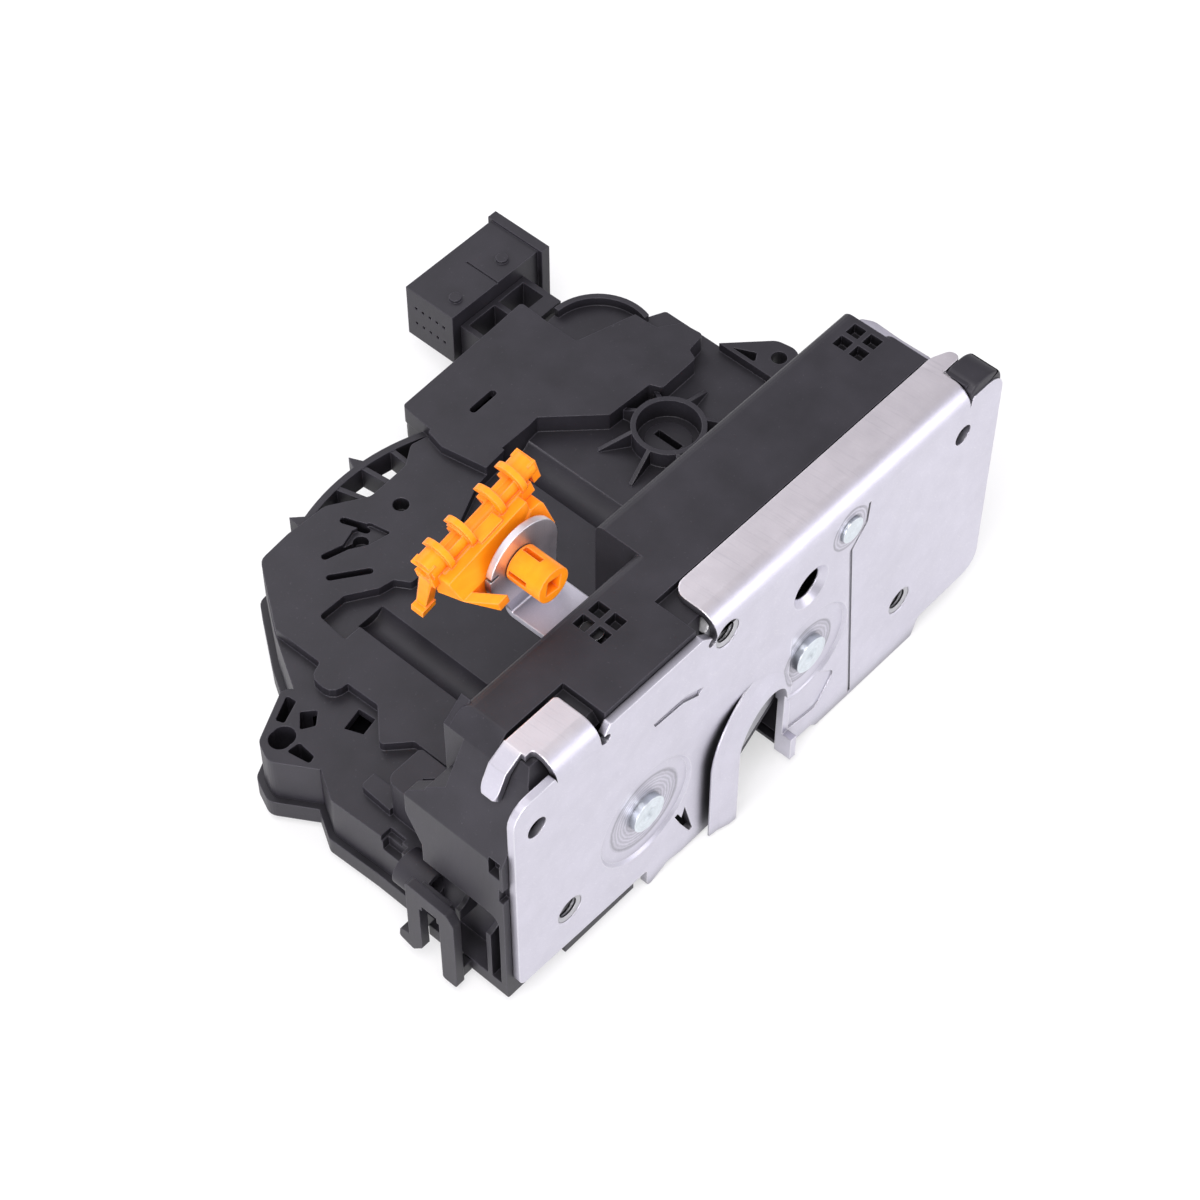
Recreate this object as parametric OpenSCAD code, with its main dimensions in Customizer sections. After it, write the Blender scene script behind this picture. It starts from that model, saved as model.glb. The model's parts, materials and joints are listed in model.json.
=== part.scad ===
// Side door lock for a car: steel face plate, catch and pawl, plastic latch housing,
// flat case with the lock drive, and a release lever that carries a rod clip.
// Origin: axis of the middle fixing hole on the plate's outer face.
// +X runs along the plate, +Y away from its outer face, +Z out of the case's upper side.

/* [Face plate] */
// Thickness of the pressed steel plate
plate_t = 1.8; // [1.4:0.1:2.0]
// Left edge of the plate from the middle fixing hole
plate_left = 61.8; // [61:0.2:64]
// Right edge of the plate from the middle fixing hole
plate_right = 88.2; // [88:0.2:91]
// Lower edge of the plate's right half below the middle fixing hole
plate_drop = 65.6; // [64.6:0.2:68]
// Lower edge of the plate's left end below the middle fixing hole
plate_left_drop = 58; // [56:0.5:59]
// Radius of the plate's corners
plate_corner_r = 5; // [3:0.5:6]
// Outer radius of the folds
fold_r = 5; // [4.4:0.2:5.4]
// Height of the folded flanges over the middle fixing hole
top_h = 7; // [6.6:0.2:8]
// Depth of the long folded flange
flange_depth = 12.4; // [10:0.2:12.6]
// Left end of the long flange
flange_start = 3.3; // [2.5:0.1:4]
// Right end of the long flange
flange_end = 77; // [70:0.5:78]
// Left end of the short flange
short_flange_end = 49.5; // [46:0.5:50]
// Right end of the short flange
short_flange_start = 37.3; // [37:0.1:40]
// Depth of the pressed round fields behind the plate's face
press_depth = 0.7; // [0.4:0.1:0.9]

/* [Fixing holes] */
// Left fixing hole from the middle one
left_bolt_x = 46.5; // [46:0.1:48]
// Right fixing hole from the middle one
right_bolt_x = 59.5; // [58.5:0.1:61]
// Both outer fixing holes below the middle one
outer_bolt_drop = 46.8; // [44:0.1:48]
// Radius of the thread's core in the fixing nuts
bolt_core_r = 2.5; // [2.1:0.05:2.6]
// Radius of the countersink on the fixing holes
bolt_sink_r = 3.85; // [3.4:0.05:4.4]
// Radius of the round fixing nuts
nut_r = 5.6; // [5:0.1:6]
// Height of the fixing nuts
nut_h = 5; // [4:0.5:6]
// Radius of the nut's collar that sits in the plate's hole
collar_r = 3.4; // [3:0.05:3.5]
// Depth of the countersink over the threads
sink_depth = 0.8; // [0.6:0.1:0.9]
// Radius of the two locating holes
locating_hole_r = 2.55; // [2:0.05:3]

/* [Mouth] */
// Middle of the striker's way
mouth_x = 11.2; // [10.8:0.1:11.6]
// Half the width of the striker's way
mouth_half = 9.2; // [8.6:0.1:9.6]
// Centre of the mouth's arch below the middle fixing hole
mouth_drop = 42; // [41:0.2:43]
// Height of the rolled lip in front of the plate
lip_h = 2; // [1.2:0.1:2.4]
// Width of the rolled lip
lip_w = 6.3; // [4:0.1:7]

/* [Catch and pawl] */
// Catch axis from the middle fixing hole along the plate
catch_x = 27.4; // [27:0.1:28]
// Catch axis below the middle fixing hole
catch_drop = 33.7; // [33.4:0.1:34.2]
// Radius of the catch's rim
catch_r = 27.5; // [26.8:0.1:27.8]
// Thickness of the catch and the pawl
catch_t = 5; // [4:0.2:5.2]
// Distance from the catch's axis to the striker's seat
seat_dist = 17.9; // [17.4:0.1:18.4]
// Width of the striker slot between the plastic linings
slot_w = 12.6; // [11.8:0.1:13]
// Thickness of the plastic lining in the slot
lining_t = 1.3; // [1:0.1:1.6]
// Turn of the catch from open to closed
catch_turn = 52; // [50:1:54]
// Radius of both rivets where the catch and the pawl turn
pivot_r = 5; // [4.4:0.1:5.4]
// Radius of the rivets' outer heads
rivet_head_r = 4.5; // [4.2:0.1:5.5]
// Radius of the rivets' reduced ends
rivet_end_r = 3.6; // [3.2:0.1:3.8]
// Pawl axis left of the middle fixing hole
pawl_x = 23.6; // [23:0.1:24.2]
// Pawl axis below the middle fixing hole
pawl_drop = 36.7; // [36.2:0.1:37.2]
// Thickness of the frame plate behind the catch
frame_t = 1.6; // [1.2:0.1:2]
// Radius of the fork's rivet that joins both plates at the top
small_rivet_r = 2.2; // [1.8:0.1:2.8]

/* [Latch housing] */
// Depth of the housing behind the plate's face, left part
housing_depth = 24; // [23.4:0.2:25]
// Depth of the housing behind the plate's face, right part
housing_deep = 34.5; // [34:0.5:37]
// Left end of the housing's top
housing_left = 50; // [49.6:0.2:51]
// Lowest face of the housing below the middle fixing hole
housing_drop = 62.6; // [62:0.2:63]
// Radius of the housing's long edges
housing_edge_r = 2.5; // [1:0.5:3]

/* [Case] */
// Raised cover over the motor, below the middle fixing hole
cover_drop = 40; // [39.4:0.2:40.4]
// Left deck of the case below the middle fixing hole
deck_drop = 42.5; // [42:0.1:43]
// Low plane of the case below the middle fixing hole
plane_drop = 45; // [44.6:0.2:45.6]
// Parting face between case and bottom cover
parting_drop = 58; // [57.6:0.2:58.6]
// Underside of the bottom cover
base_drop = 63; // [62.6:0.2:64]
// Wall of the case
wall_t = 2.2; // [1.8:0.1:2.6]
// Lip of the bottom cover round the case
cover_lip = 1.5; // [1:0.1:2]
// Right edge of the case
case_right = 88.4; // [88:0.2:90]
// Back edge of the case
case_back = 116.4; // [115.6:0.2:118]
// Centre of the key boss along the plate
key_x = 59.5; // [58.5:0.5:61]
// Centre of the key boss behind the plate
key_y = 67; // [66:0.5:68]
// Inner radius of the key boss
key_boss_in_r = 7.45; // [7:0.05:7.8]
// Wall of the key boss
key_boss_wall = 1.25; // [1:0.05:1.6]
// Radius of the hole in the key boss floor
key_hole_r = 5.55; // [5:0.05:6]

/* [Connector] */
// Left end of the connector hood
hood_x = 50; // [49:0.5:52]
// Length of the connector hood
hood_l = 30; // [28:0.5:32]
// Depth of the connector hood
hood_d = 15; // [14:0.2:16]
// Height of the connector hood
hood_h = 15.5; // [14.5:0.5:17]
// Front wall of the connector hood behind the plate
hood_y = 125.4; // [125:0.2:127]
// Number of contacts in one row
contact_count = 5; // [3:1:6]

/* [Lock drive] */
// Worm wheel axis along the plate
wheel_x = 14; // [13:0.5:15]
// Worm wheel axis behind the plate
wheel_y = 75.5; // [74.5:0.5:76]
// Teeth of the worm wheel
wheel_teeth = 24; // [24:1:24]
// Tooth pitch of worm and wheel along the worm
worm_pitch = 4; // [3.8:0.1:4.1]
// Teeth of the small gear on the worm wheel
small_gear_teeth = 10; // [10:1:10]
// Teeth of the full circle of the lock lever's rim
sector_teeth = 30; // [30:1:30]
// Module of the small gear and the lock lever's rim
gear_module = 1.5; // [1.4:0.05:1.5]
// Face width of the worm wheel
wheel_t = 4; // [3:0.2:4.2]
// Thickness of the lock lever
lock_lever_t = 2.2; // [1.6:0.1:2.3]
// Length of the motor can
motor_l = 29; // [26:0.5:31]
// Diameter of the motor can
motor_d = 20; // [18:0.5:20.5]
// Height of the motor can over its flats
motor_h = 12; // [11:0.2:12]

/* [Release lever] */
// Thickness of the release lever
lever_t = 1.5; // [1.2:0.1:1.7]
// Lever axis left of the middle fixing hole
lever_x = 20.7; // [20:0.1:21.4]
// Lever axis behind the plate
lever_y = 17.5; // [17:0.1:18]
// Radius of the lever's pivot pin
lever_pin_r = 2.5; // [2:0.1:3]
// Reach of the lever's tab behind the plate
tab_reach = 35.3; // [33:0.1:38]
// Radius of the lever's round ear
ear_r = 9.5; // [9:0.1:10.5]
// Height of the clip's axis over the middle fixing hole
clip_h = 16.3; // [15.8:0.1:17]
// Clip axis left of the middle fixing hole
clip_x = 23.3; // [22.8:0.1:23.8]

/* [Rod clip] */
// Radius of the clip's spreading pin
clip_pin_r = 4.1; // [3.8:0.1:5]
// Radius of the pin's neck in the ear
clip_neck_r = 3.1; // [2.6:0.1:3.4]
// Radius of the rod that the clip holds
rod_r = 1.9; // [1.6:0.1:2.2]
// Length of the rod cradles
cradle_l = 29; // [26:0.5:32]
// Tilt of the rod against the plate's long way
cradle_tilt = 13.5; // [8:0.5:18]

/* [Clearances] */
// Radial clearance of shafts in their bores
fit_gap = 0.05; // [0.02:0.01:0.09]
// Free space between pieces that move past each other
run_gap = 0.3; // [0.2:0.05:0.4]
// Space between a seated piece and its pocket
seat_gap = 0.1; // [0.05:0.05:0.2]

/* [Hidden] */
$fn = 48;
eps = 0.02;

top_z = top_h;
cover_z = -cover_drop;
deck_z = -deck_drop;
plane_z = -plane_drop;
parting_z = -parting_drop;
base_z = -base_drop;

left_bolt = [-left_bolt_x, -outer_bolt_drop];
right_bolt = [right_bolt_x, -outer_bolt_drop];
bolts = [left_bolt, [0, 0], right_bolt];
locating_holes = [[-55.5, -6.4], [75.6, -5.4]];
access_hole = [26.4, -10.3];
catch_at = [catch_x, -catch_drop];
pawl_at = [-pawl_x, -pawl_drop];
small_rivet_at = [38.2, -2.1];
mouth_at = [mouth_x, -mouth_drop];

// Outer face of the housing's left wall, the slanted roof over it and the plate's tongue on the roof
wall_left = plate_left + 1.8;
roof_bend = [-54.2, 2.6];
tongue_end = [-57.4, -2.5];

// Layers behind the plate
works_y = plate_t + press_depth + run_gap;
catch_back = works_y + catch_t;
frame_y = catch_back + 1.6;
frame_back = frame_y + frame_t;
rivet_back = frame_back + 1.4;

// Open position of the striker seat, seen from the front
seat_closed_a = atan2(-mouth_drop + catch_drop, mouth_x + 0.3 - catch_x) + 360;
seat_open_a = seat_closed_a + catch_turn;
slot_a = 220;
rim_gap = run_gap;

pitch_r = wheel_teeth * worm_pitch / (2 * PI);
worm_addendum = worm_pitch / PI * 0.8;
worm_root_r = 3.2;
worm_pitch_r = worm_root_r + worm_pitch / PI;
worm_y = wheel_y + pitch_r + worm_pitch_r + 0.25;
floor_z = base_z + 2;
drive_z = floor_z + motor_h / 2 + seat_gap;
lock_lever_z = drive_z + wheel_t / 2 + run_gap;
small_gear_r = gear_module * small_gear_teeth / 2;
sector_r = gear_module * sector_teeth / 2;
lever_dir = -32;
lock_x = wheel_x + (small_gear_r + sector_r + 0.1) * cos(lever_dir);
lock_y = wheel_y + (small_gear_r + sector_r + 0.1) * sin(lever_dir);

function unit(v) = v / norm(v);
function wrap(a) = (a + 540) % 360 - 180;
function arc(c, r, a0, a1, n) = [for (i = [0:n]) c + r * [cos(a0 + (a1 - a0) * i / n), sin(a0 + (a1 - a0) * i / n)]];
function round_corner(a, b, c, r, n) =
    let (u = unit(a - b), v = unit(c - b), half = acos(u * v) / 2)
    let (m = b + unit(u + v) * r / sin(half), s = b + u * r / tan(half) - m, e = b + v * r / tan(half) - m)
    let (a0 = atan2(s[1], s[0]), sweep = wrap(atan2(e[1], e[0]) - a0))
    [for (i = [0:n]) m + r * [cos(a0 + sweep * i / n), sin(a0 + sweep * i / n)]];
function flat(p) = [p[0], p[1]];
function outline(p, n = 5) = [for (i = [0:len(p) - 1])
    let (a = flat(p[(i + len(p) - 1) % len(p)]), b = p[i], c = flat(p[(i + 1) % len(p)]))
    each (len(b) < 3 || b[2] == 0 ? [flat(b)] : round_corner(a, flat(b), c, b[2], n))];
function inset(p, d) = [for (i = [0:len(p) - 1])
    let (a = flat(p[(i + len(p) - 1) % len(p)]), b = flat(p[i]), c = flat(p[(i + 1) % len(p)]))
    let (u = unit(b - a), v = unit(c - b), m = [-u[1], u[0]], n = [-v[1], v[0]])
    b + d * (m + n) / (1 + m * n)];
function grown(p, d) = let (q = inset(p, -d)) [for (i = [0:len(p) - 1]) len(p[i]) < 3 ? q[i] : [q[i][0], q[i][1], p[i][2]]];
function involute(rb, t) = rb * [cos(t) + t * PI / 180 * sin(t), sin(t) - t * PI / 180 * cos(t)];
function involute_t(rb, r) = sqrt(max(0, r * r / (rb * rb) - 1)) * 180 / PI;
function spin(p, a) = [p[0] * cos(a) - p[1] * sin(a), p[0] * sin(a) + p[1] * cos(a)];
function mirror_y(p) = [p[0], -p[1]];

// Stands a flat drawing up in the plate's plane, from depth y0 to y1
module upright(y0, y1) {
    translate([0, y1, 0])
        rotate([90, 0, 0])
            linear_extrude(y1 - y0)
                children();
}

// A pin along Y from depth y0 to y1
module pin_y(at, r, y0, y1) {
    translate([at[0], y1, at[1]])
        rotate([90, 0, 0])
            cylinder(r = r, h = y1 - y0);
}

// A cone along Y, radius r0 at y0 and r1 at y1
module cone_y(at, r0, r1, y0, y1) {
    translate([at[0], y0, at[1]])
        rotate([-90, 0, 0])
            cylinder(r1 = r0, r2 = r1, h = y1 - y0);
}

// A flat drawing in plan from height z0 to z1
module level(z0, z1) {
    translate([0, 0, z0])
        linear_extrude(z1 - z0)
            children();
}

// A drawing in depth and height, drawn along the plate from x0 to x1
module along(x0, x1) {
    translate([x0, 0, 0])
        rotate([90, 0, 90])
            linear_extrude(x1 - x0)
                children();
}

// Face plate

plate_outline = [[-plate_left, -plate_left_drop, 2.5], [-23, -59.6, 0.8], [-23, -plate_drop - 0.6, 1.2],
    [-16.5, -63.4, 2], [-12, -plate_drop + 1.2, 1.5], [mouth_x - mouth_half, -plate_drop + 1.2],
    [mouth_x, -plate_drop + 1.2], [mouth_x + mouth_half + 1, -plate_drop + 2.6], [30.6, -plate_drop + 2.2, 1],
    [32.5, -plate_drop + 0.5, 1], [65.8, -plate_drop, 1], [67.6, -60.6, 1.5], [plate_right, -60.2, plate_corner_r],
    [plate_right, top_z - 2.4, plate_corner_r], [flange_end + 1, top_z - 2.4, 1], [flange_end, top_z - fold_r],
    [-flange_start, top_z - fold_r], [-7.6, top_z - 1.5, 0.8], [-34.6, top_z - 1.5, 0.8],
    [-short_flange_start, top_z - fold_r], [-short_flange_end, top_z - fold_r], [-short_flange_end - 0.6, top_z - 3.1, 0.3],
    [-plate_left, top_z - 3.1, plate_corner_r]];

module throat(grow) {
    union() {
        translate([mouth_x, -mouth_drop])
            circle(r = mouth_half + grow);
        translate([mouth_x - mouth_half - grow, -mouth_drop - 40])
            square([2 * (mouth_half + grow), 40]);
    }
}

module fold(x0, x1, depth) {
    along(x0, x1)
        union() {
            intersection() {
                translate([fold_r, top_z - fold_r])
                    difference() {
                        circle(r = fold_r);
                        circle(r = fold_r - plate_t);
                    }
                translate([0, top_z - fold_r])
                    square([fold_r, fold_r]);
            }
            translate([fold_r, top_z - plate_t])
                square([depth - fold_r, plate_t]);
        }
}

function lip_profile() = [[mouth_half - 0.3, -lip_h], [mouth_half + 0.9, -lip_h + 0.1], [mouth_half + 2.4, -lip_h * 0.78],
    [mouth_half + 4, -lip_h * 0.42], [mouth_half + 5.2, -lip_h * 0.15], [mouth_half + lip_w + 1.2, 0.3],
    [mouth_half + lip_w + 1.2, 0.7], [mouth_half - 0.3, 0.7]];

// The rolled lip round the mouth, high on the left and running out on the right
module lip() {
    intersection() {
        translate([mouth_x, 0, -mouth_drop])
            rotate([0, 0, 8])
                union() {
                    rotate([90, 0, 0])
                        mirror([0, 0, 1])
                            rotate_extrude(angle = 180)
                                polygon(lip_profile());
                    translate([0, 0, -plate_drop + mouth_drop + 1.2])
                        linear_extrude(plate_drop - mouth_drop - 1.2)
                            polygon([for (p = lip_profile()) [-p[0], p[1]]]);
                }
        translate([-10, -10, -90])
            cube([60, 10 + plate_t, 90]);
    }
}

module latch_plate() color([0.83, 0.82, 0.87]) difference() {
    union() {
        upright(0, plate_t)
            polygon(outline(plate_outline));
        intersection() {
            fold(-flange_start, flange_end, flange_depth);
            level(-10, 20)
                polygon(outline([[-flange_start, -1], [flange_end, -1], [flange_end, flange_depth, 3], [-flange_start, flange_depth, 3.5]]));
        }
        intersection() {
            fold(-short_flange_end - 2, -short_flange_start, flange_depth - 0.7);
            level(-10, 20)
                polygon(outline([[-short_flange_end, -1], [-short_flange_start, -1], [-short_flange_start, flange_depth - 0.7, 1],
                    [-short_flange_end - 2, flange_depth - 0.7], [-short_flange_end - 2, 6.4], [-short_flange_end, 6.4, 0.8]]));
        }
        // Tongue that runs down from the short flange along the housing's roof
        intersection() {
            upright(7.4, flange_depth - 0.5)
                polygon([[-short_flange_end - 2 + eps, top_z], [-short_flange_end - 2 + eps, top_z - plate_t], [-short_flange_end - 3, top_z - plate_t - 0.1],
                    [roof_bend[0] - 0.4, roof_bend[1] + 0.5], tongue_end, tongue_end + plate_t * [-0.9, 0.434], [roof_bend[0] - 1.7, roof_bend[1] + 1.8]]);
            level(-20, 20)
                polygon(outline([[-short_flange_end, 7.4], [-short_flange_end, flange_depth - 0.5], [tongue_end[0] - 1.7, flange_depth - 0.5, 1.4], [tongue_end[0] - 1.7, 7.4, 1.4]]));
        }
        for (f = [[pawl_at, 14], [catch_at, 13]])
            pin_y(f[0], f[1], plate_t - eps, plate_t + press_depth);
        lip();
        // Small ear folded forward beside the mouth
        translate([mouth_x + mouth_half, -2.6, -plate_drop + 2.6])
            cube([plate_t, 3, 7]);
    }
    for (f = [[pawl_at, 14], [catch_at, 13]])
        intersection() {
            cone_y(f[0], f[1] - 0.2, f[1] - 0.9, -0.01, press_depth);
            translate([mouth_x + mouth_half + (f[0][0] < 0 ? -100 : 0.8), -1, -90])
                cube([100 - 12 * (f[0][0] < 0 ? 1 : 0), 5, 90]);
        }
    upright(-10, 10)
        throat(0);
    translate([mouth_x - mouth_half, -10, -plate_drop - 4])
        cube([2 * mouth_half, 20, 10]);
    for (b = bolts) {
        pin_y(b, collar_r + 0.05, -1, plate_t + 1);
        bolt_sink(b);
    }
    for (h = locating_holes)
        pin_y(h, locating_hole_r, -1, plate_t + 1);
    pin_y(access_hole, 3.9, -1, plate_t + 2);
    cone_y(access_hole, 5.45, 3.9, -0.01, 1.5);
    for (f = [pawl_at, catch_at])
        pin_y(f, rivet_end_r, -1, plate_t + 2);
    pin_y(small_rivet_at, small_rivet_r, -1, plate_t + 1);
    // Lanced arrow beside the pawl rivet
    upright(-1, plate_t + 1)
        polygon([[-11.4, -48.4], [-8.7, -59.3], [-9.6, -59.5], [-12.8, -53.2], [-14.6, -48.9], [-13.6, -48.7], [-12.4, -51.4]]);
    // Reliefs at the ends of the folds
    for (x = [-short_flange_start + 1.4, -flange_start - 1.4])
        translate([x, -1, top_z - fold_r])
            rotate([-90, 0, 0])
                cylinder(r = 1.3, h = 12);
    // Pressed fields and streaks
    upright(-0.01, 0.35)
        polygon(outline([[mouth_x + mouth_half + 2, -41], [32, -45, 2], [37.6, -50, 2], [32, -57.8, 3], [mouth_x + mouth_half + 2, -56]]));
    upright(-0.01, 0.4)
        polygon([[44.5, 1], [43.7, 1], [43.2, -4.8], [38.6, -10.2], [43.4, -plate_drop + 1.5], [44.2, -plate_drop + 1.5], [39.6, -10.4], [44, -5.1]]);
    upright(-0.01, 0.5)
        polygon([[-22, -7.8], [-12, -8], [-7, -10.6], [-8.4, -12], [-13, -9.8], [-21.4, -9.2]]);
}

// Housing behind the plate

works_outline = [[-39.4, -housing_drop + 1], [-39.4, 2.6], [-8.4, 2.6], [-8.4, -7.6], [8, -7.6], [12, 1.6], [46.6, 1.6],
    [52.6, -6], [52.6, -housing_drop + 1]];
housing_front = [[-wall_left, -housing_drop, 1], [65.4, -housing_drop, 1], [67, -housing_drop + 3, 1],
    [plate_right - 2, -housing_drop + 3, 3], [plate_right - 1.2, 1, 4],
    [flange_end + 1.5, top_z, 1], [-housing_left, top_z, 1], [roof_bend[0], roof_bend[1], 1], [-wall_left, -14, 1]];
deep_front = [[-1, plane_z + 0.1], [flange_end, plane_z + 0.1], [flange_end, top_z, 0.8], [-1, top_z, 0.8]];
housing_side = [[plate_t + 0.1, -housing_drop - 1], [housing_depth, -housing_drop - 1], [housing_depth, top_z, housing_edge_r],
    [flange_depth + 0.3, top_z], [flange_depth + 0.3, top_z - plate_t - 0.2], [fold_r + 0.1, top_z - plate_t - 0.2],
    [plate_t + 0.35, top_z - fold_r - 0.9], [plate_t + 0.1, top_z - fold_r - 1.6]];
open_side = [[plate_t + 0.1, -housing_drop - 1], [housing_depth, -housing_drop - 1], [housing_depth, top_z, housing_edge_r], [plate_t + 0.1, top_z]];

module window_grid(at) {
    for (i = [-1, 1], j = [-1, 1])
        translate([at[0] + i * 2.2, at[1] + j * 2.2, top_z - 2.8])
            translate([-1.6, -1.6, 0])
                cube([3.2, 3.2, 4]);
}

module latch_housing() color([0.12, 0.12, 0.13]) difference() {
    union() {
        intersection() {
            upright(plate_t, housing_depth + 1)
                polygon(outline(housing_front));
            union() {
                along(-plate_left - 4, plate_right)
                    polygon(outline(housing_side));
                along(-34.2, -7.8)
                    polygon(outline(open_side));
                along(flange_end + 0.3, plate_right)
                    polygon(outline(open_side));
                along(-plate_left - 4, -short_flange_end - 13)
                    polygon(outline(open_side));
            }
        }
        // Deep right part of the cap, over the case
        along(-1, flange_end)
            polygon(outline([[housing_depth - 3, plane_z + 0.1], [housing_deep, plane_z + 0.1], [housing_deep, top_z, housing_edge_r], [housing_depth - 3, top_z]]));
        // Block behind the roof at the cap's left end
        upright(housing_depth - 1, housing_depth + 1.4)
            polygon(outline([[-housing_left + 1, top_z], roof_bend, [roof_bend[0], -16], [-housing_left + 1, -16]]));
        // Lug of the left wall that runs back over the case
        intersection() {
            upright(18, 29)
                difference() {
                    polygon(outline(housing_front));
                    translate([2.6, -1])
                        polygon(outline(housing_front));
                }
            along(-wall_left - 1, roof_bend[0] - 2)
                polygon(outline([[18, -7], [28, -13.2, 1.5], [28, -20, 3], [housing_depth - 0.6, -29, 2], [housing_depth - 0.6, -34], [18, -34]]));
        }
        // Bar below the plate's left half
        translate([-47.6, 0.6, -plate_left_drop - 4.6])
            cube([21, 6, 2.8]);
    }
    // Room of the catch and the pawl, with the seat of the frame plate
    upright(plate_t - 1, frame_back + seat_gap)
        polygon(works_outline);
    // Way of the striker
    upright(plate_t - 1, housing_depth - 3.4)
        throat(0.8);
    for (b = bolts)
        pin_y(b, nut_r + seat_gap, plate_t - 1, plate_t + nut_h + 0.3);
    for (b = bolts)
        pin_y(b, 3.2, plate_t, plate_t + nut_h + 7);
    for (h = locating_holes)
        pin_y(h, locating_hole_r + 0.6, plate_t - 1, plate_t + 8);
    pin_y(access_hole, 4.6, plate_t, 19);
    for (f = [pawl_at, catch_at])
        pin_y(f, pivot_r + 1.2, frame_y, rivet_back + 0.3);
    pin_y(small_rivet_at, small_rivet_r + 1.6, frame_y, rivet_back + 0.3);
    window_grid([-18.7, 17.2]);
    window_grid([71.8, 26.4]);
    // Room of the release lever
    level(1.1, 3.6)
        polygon([[-33.6, 3.4], [-10.6, 3.4], [-9.6, 14], [-6.6, 26], [-7.4, 40], [-28.4, 40], [-28.4, 22], [-33.6, 13]]);
    translate([-lever_x, lever_y, -3])
        cylinder(r = lever_pin_r, h = 9);
    // Spring seat round the lever pin
    translate([-lever_x, lever_y, -2.4])
        cylinder(r = 6.4, h = 4);
    // Pocket of the catch switch
    translate([44, frame_back - 0.5, -36])
        cube([8.4, 8.6, 18.4]);
    // Open space behind the roof's back edge
    along(-wall_left - 1, roof_bend[0])
        polygon([[20, 10], [20, -7.6], [30, -13.9], [30, 10]]);
    cable_room();
    // Nothing stands behind the plate's upper right corner
    level(-30, top_z + 1)
        polygon([[flange_end + 0.9, 7.4], [84, 6.4], [86.6, 3.4], [92, 3.4], [92, 40], [flange_end + 0.9, 40]]);
    // Windows in the left wall beside the plate
    translate([-wall_left - 1, 2.6, -18.6])
        cube([3, 2.9, 5.2]);
    translate([-wall_left - 1, 1, -26.5])
        cube([3, 2, 4.4]);
}

// Room for the cable end in the left wall, between curved ribs
cable_room_top = -33.5;
cable_room_floor = -58;

module cable_room() {
    difference() {
        along(-wall_left - 1, -wall_left + 5)
            polygon(outline([[3.4, cable_room_floor], [housing_depth + 1, cable_room_floor], [housing_depth + 1, cable_room_top, 1], [3.4, cable_room_top, 3]]));
        for (rib = [[6, -63], [14.4, -46]])
            upright(rib[0], rib[0] + 1.2)
                difference() {
                    translate([-wall_left - 0.01, rib[1]])
                        square([6, cable_room_top - rib[1] + 1]);
                    translate([-wall_left, cable_room_top - 6])
                        circle(r = 3);
                    translate([-wall_left - 1, cable_room_top - 5.9])
                        square([2.4, 8]);
                }
    }
}

// Steel frame plate that closes the catch's room at the back

frame_outline = [for (p = inset([for (i = [len(works_outline) - 1:-1:0]) works_outline[i]], 0.3)) p];

module frame_plate() color([0.7, 0.7, 0.72]) difference() {
    upright(frame_y, frame_back)
        polygon(frame_outline);
    upright(frame_y - 1, frame_back + 1)
        throat(0.8);
    for (f = [pawl_at, catch_at])
        pin_y(f, rivet_end_r, frame_y - 1, frame_back + 1);
    pin_y(small_rivet_at, small_rivet_r, frame_y - 1, frame_back + 1);
    pin_y(access_hole, 4.6, frame_y - 1, frame_back + 1);
    for (b = bolts)
        pin_y(b, nut_r + 0.6, frame_y - 1, frame_back + 1);
    // Window for the release lever's finger
    upright(frame_y - 1, frame_back + 1)
        polygon([[-34.4, -4], [-34.4, 4], [-9.8, 4], [-9.8, -4]]);
}

// Countersink over a fixing thread, through the plate's face and into the nut's collar
module bolt_sink(at)
    cone_y(at, bolt_sink_r + 0.02, bolt_core_r - 0.25, -0.01, sink_depth + 0.15);

module fixing_nuts() color([0.66, 0.66, 0.68]) for (b = bolts) difference() {
    union() {
        difference() {
            pin_y(b, nut_r, plate_t, plate_t + nut_h);
            // The middle nut is notched for the fold above it
            along(-flange_start - seat_gap, nut_r + 1)
                translate([fold_r, top_z - fold_r])
                    difference() {
                        circle(r = fold_r);
                        circle(r = fold_r - plate_t);
                        translate([-fold_r, -fold_r])
                            square([2 * fold_r, fold_r]);
                    }
        }
        pin_y(b, collar_r, 0.1, plate_t + 1);
    }
    pin_y(b, bolt_core_r, -1, plate_t + nut_h + 1);
    bolt_sink(b);
}

// A shouldered rivet: outer head, reduced end, turning part, reduced end, closing head
module step_rivet(at) {
    difference() {
        union() {
            pin_y(at, rivet_head_r, press_depth - 1.5, press_depth);
            pin_y(at, rivet_end_r, press_depth - 0.5, rivet_back);
            pin_y(at, pivot_r, plate_t + press_depth, frame_y);
            pin_y(at, rivet_end_r + 1.6, frame_back, rivet_back);
        }
        cone_y(at, 1.8, 1, press_depth - 1.51, press_depth - 1);
    }
}

module catch_rivet() color([0.86, 0.9, 0.93]) step_rivet(catch_at);

module pawl_rivet() color([0.86, 0.9, 0.93]) step_rivet(pawl_at);

module plate_rivet() color([0.86, 0.9, 0.93]) {
    pin_y(small_rivet_at, small_rivet_r + 0.9, -0.7, 0);
    pin_y(small_rivet_at, small_rivet_r, -0.2, frame_back + 1);
    pin_y(small_rivet_at, small_rivet_r + 1.2, plate_t, frame_y);
    pin_y(small_rivet_at, small_rivet_r + 1.2, frame_back, frame_back + 1);
}

// Catch, drawn about its axis in the open position

seat_at = seat_dist * [cos(seat_open_a), sin(seat_open_a)];

module slot_shape(half) {
    union() {
        translate(seat_at)
            circle(r = half);
        translate(seat_at)
            rotate(slot_a)
                translate([0, -half])
                    square([40, 2 * half]);
    }
}

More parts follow.
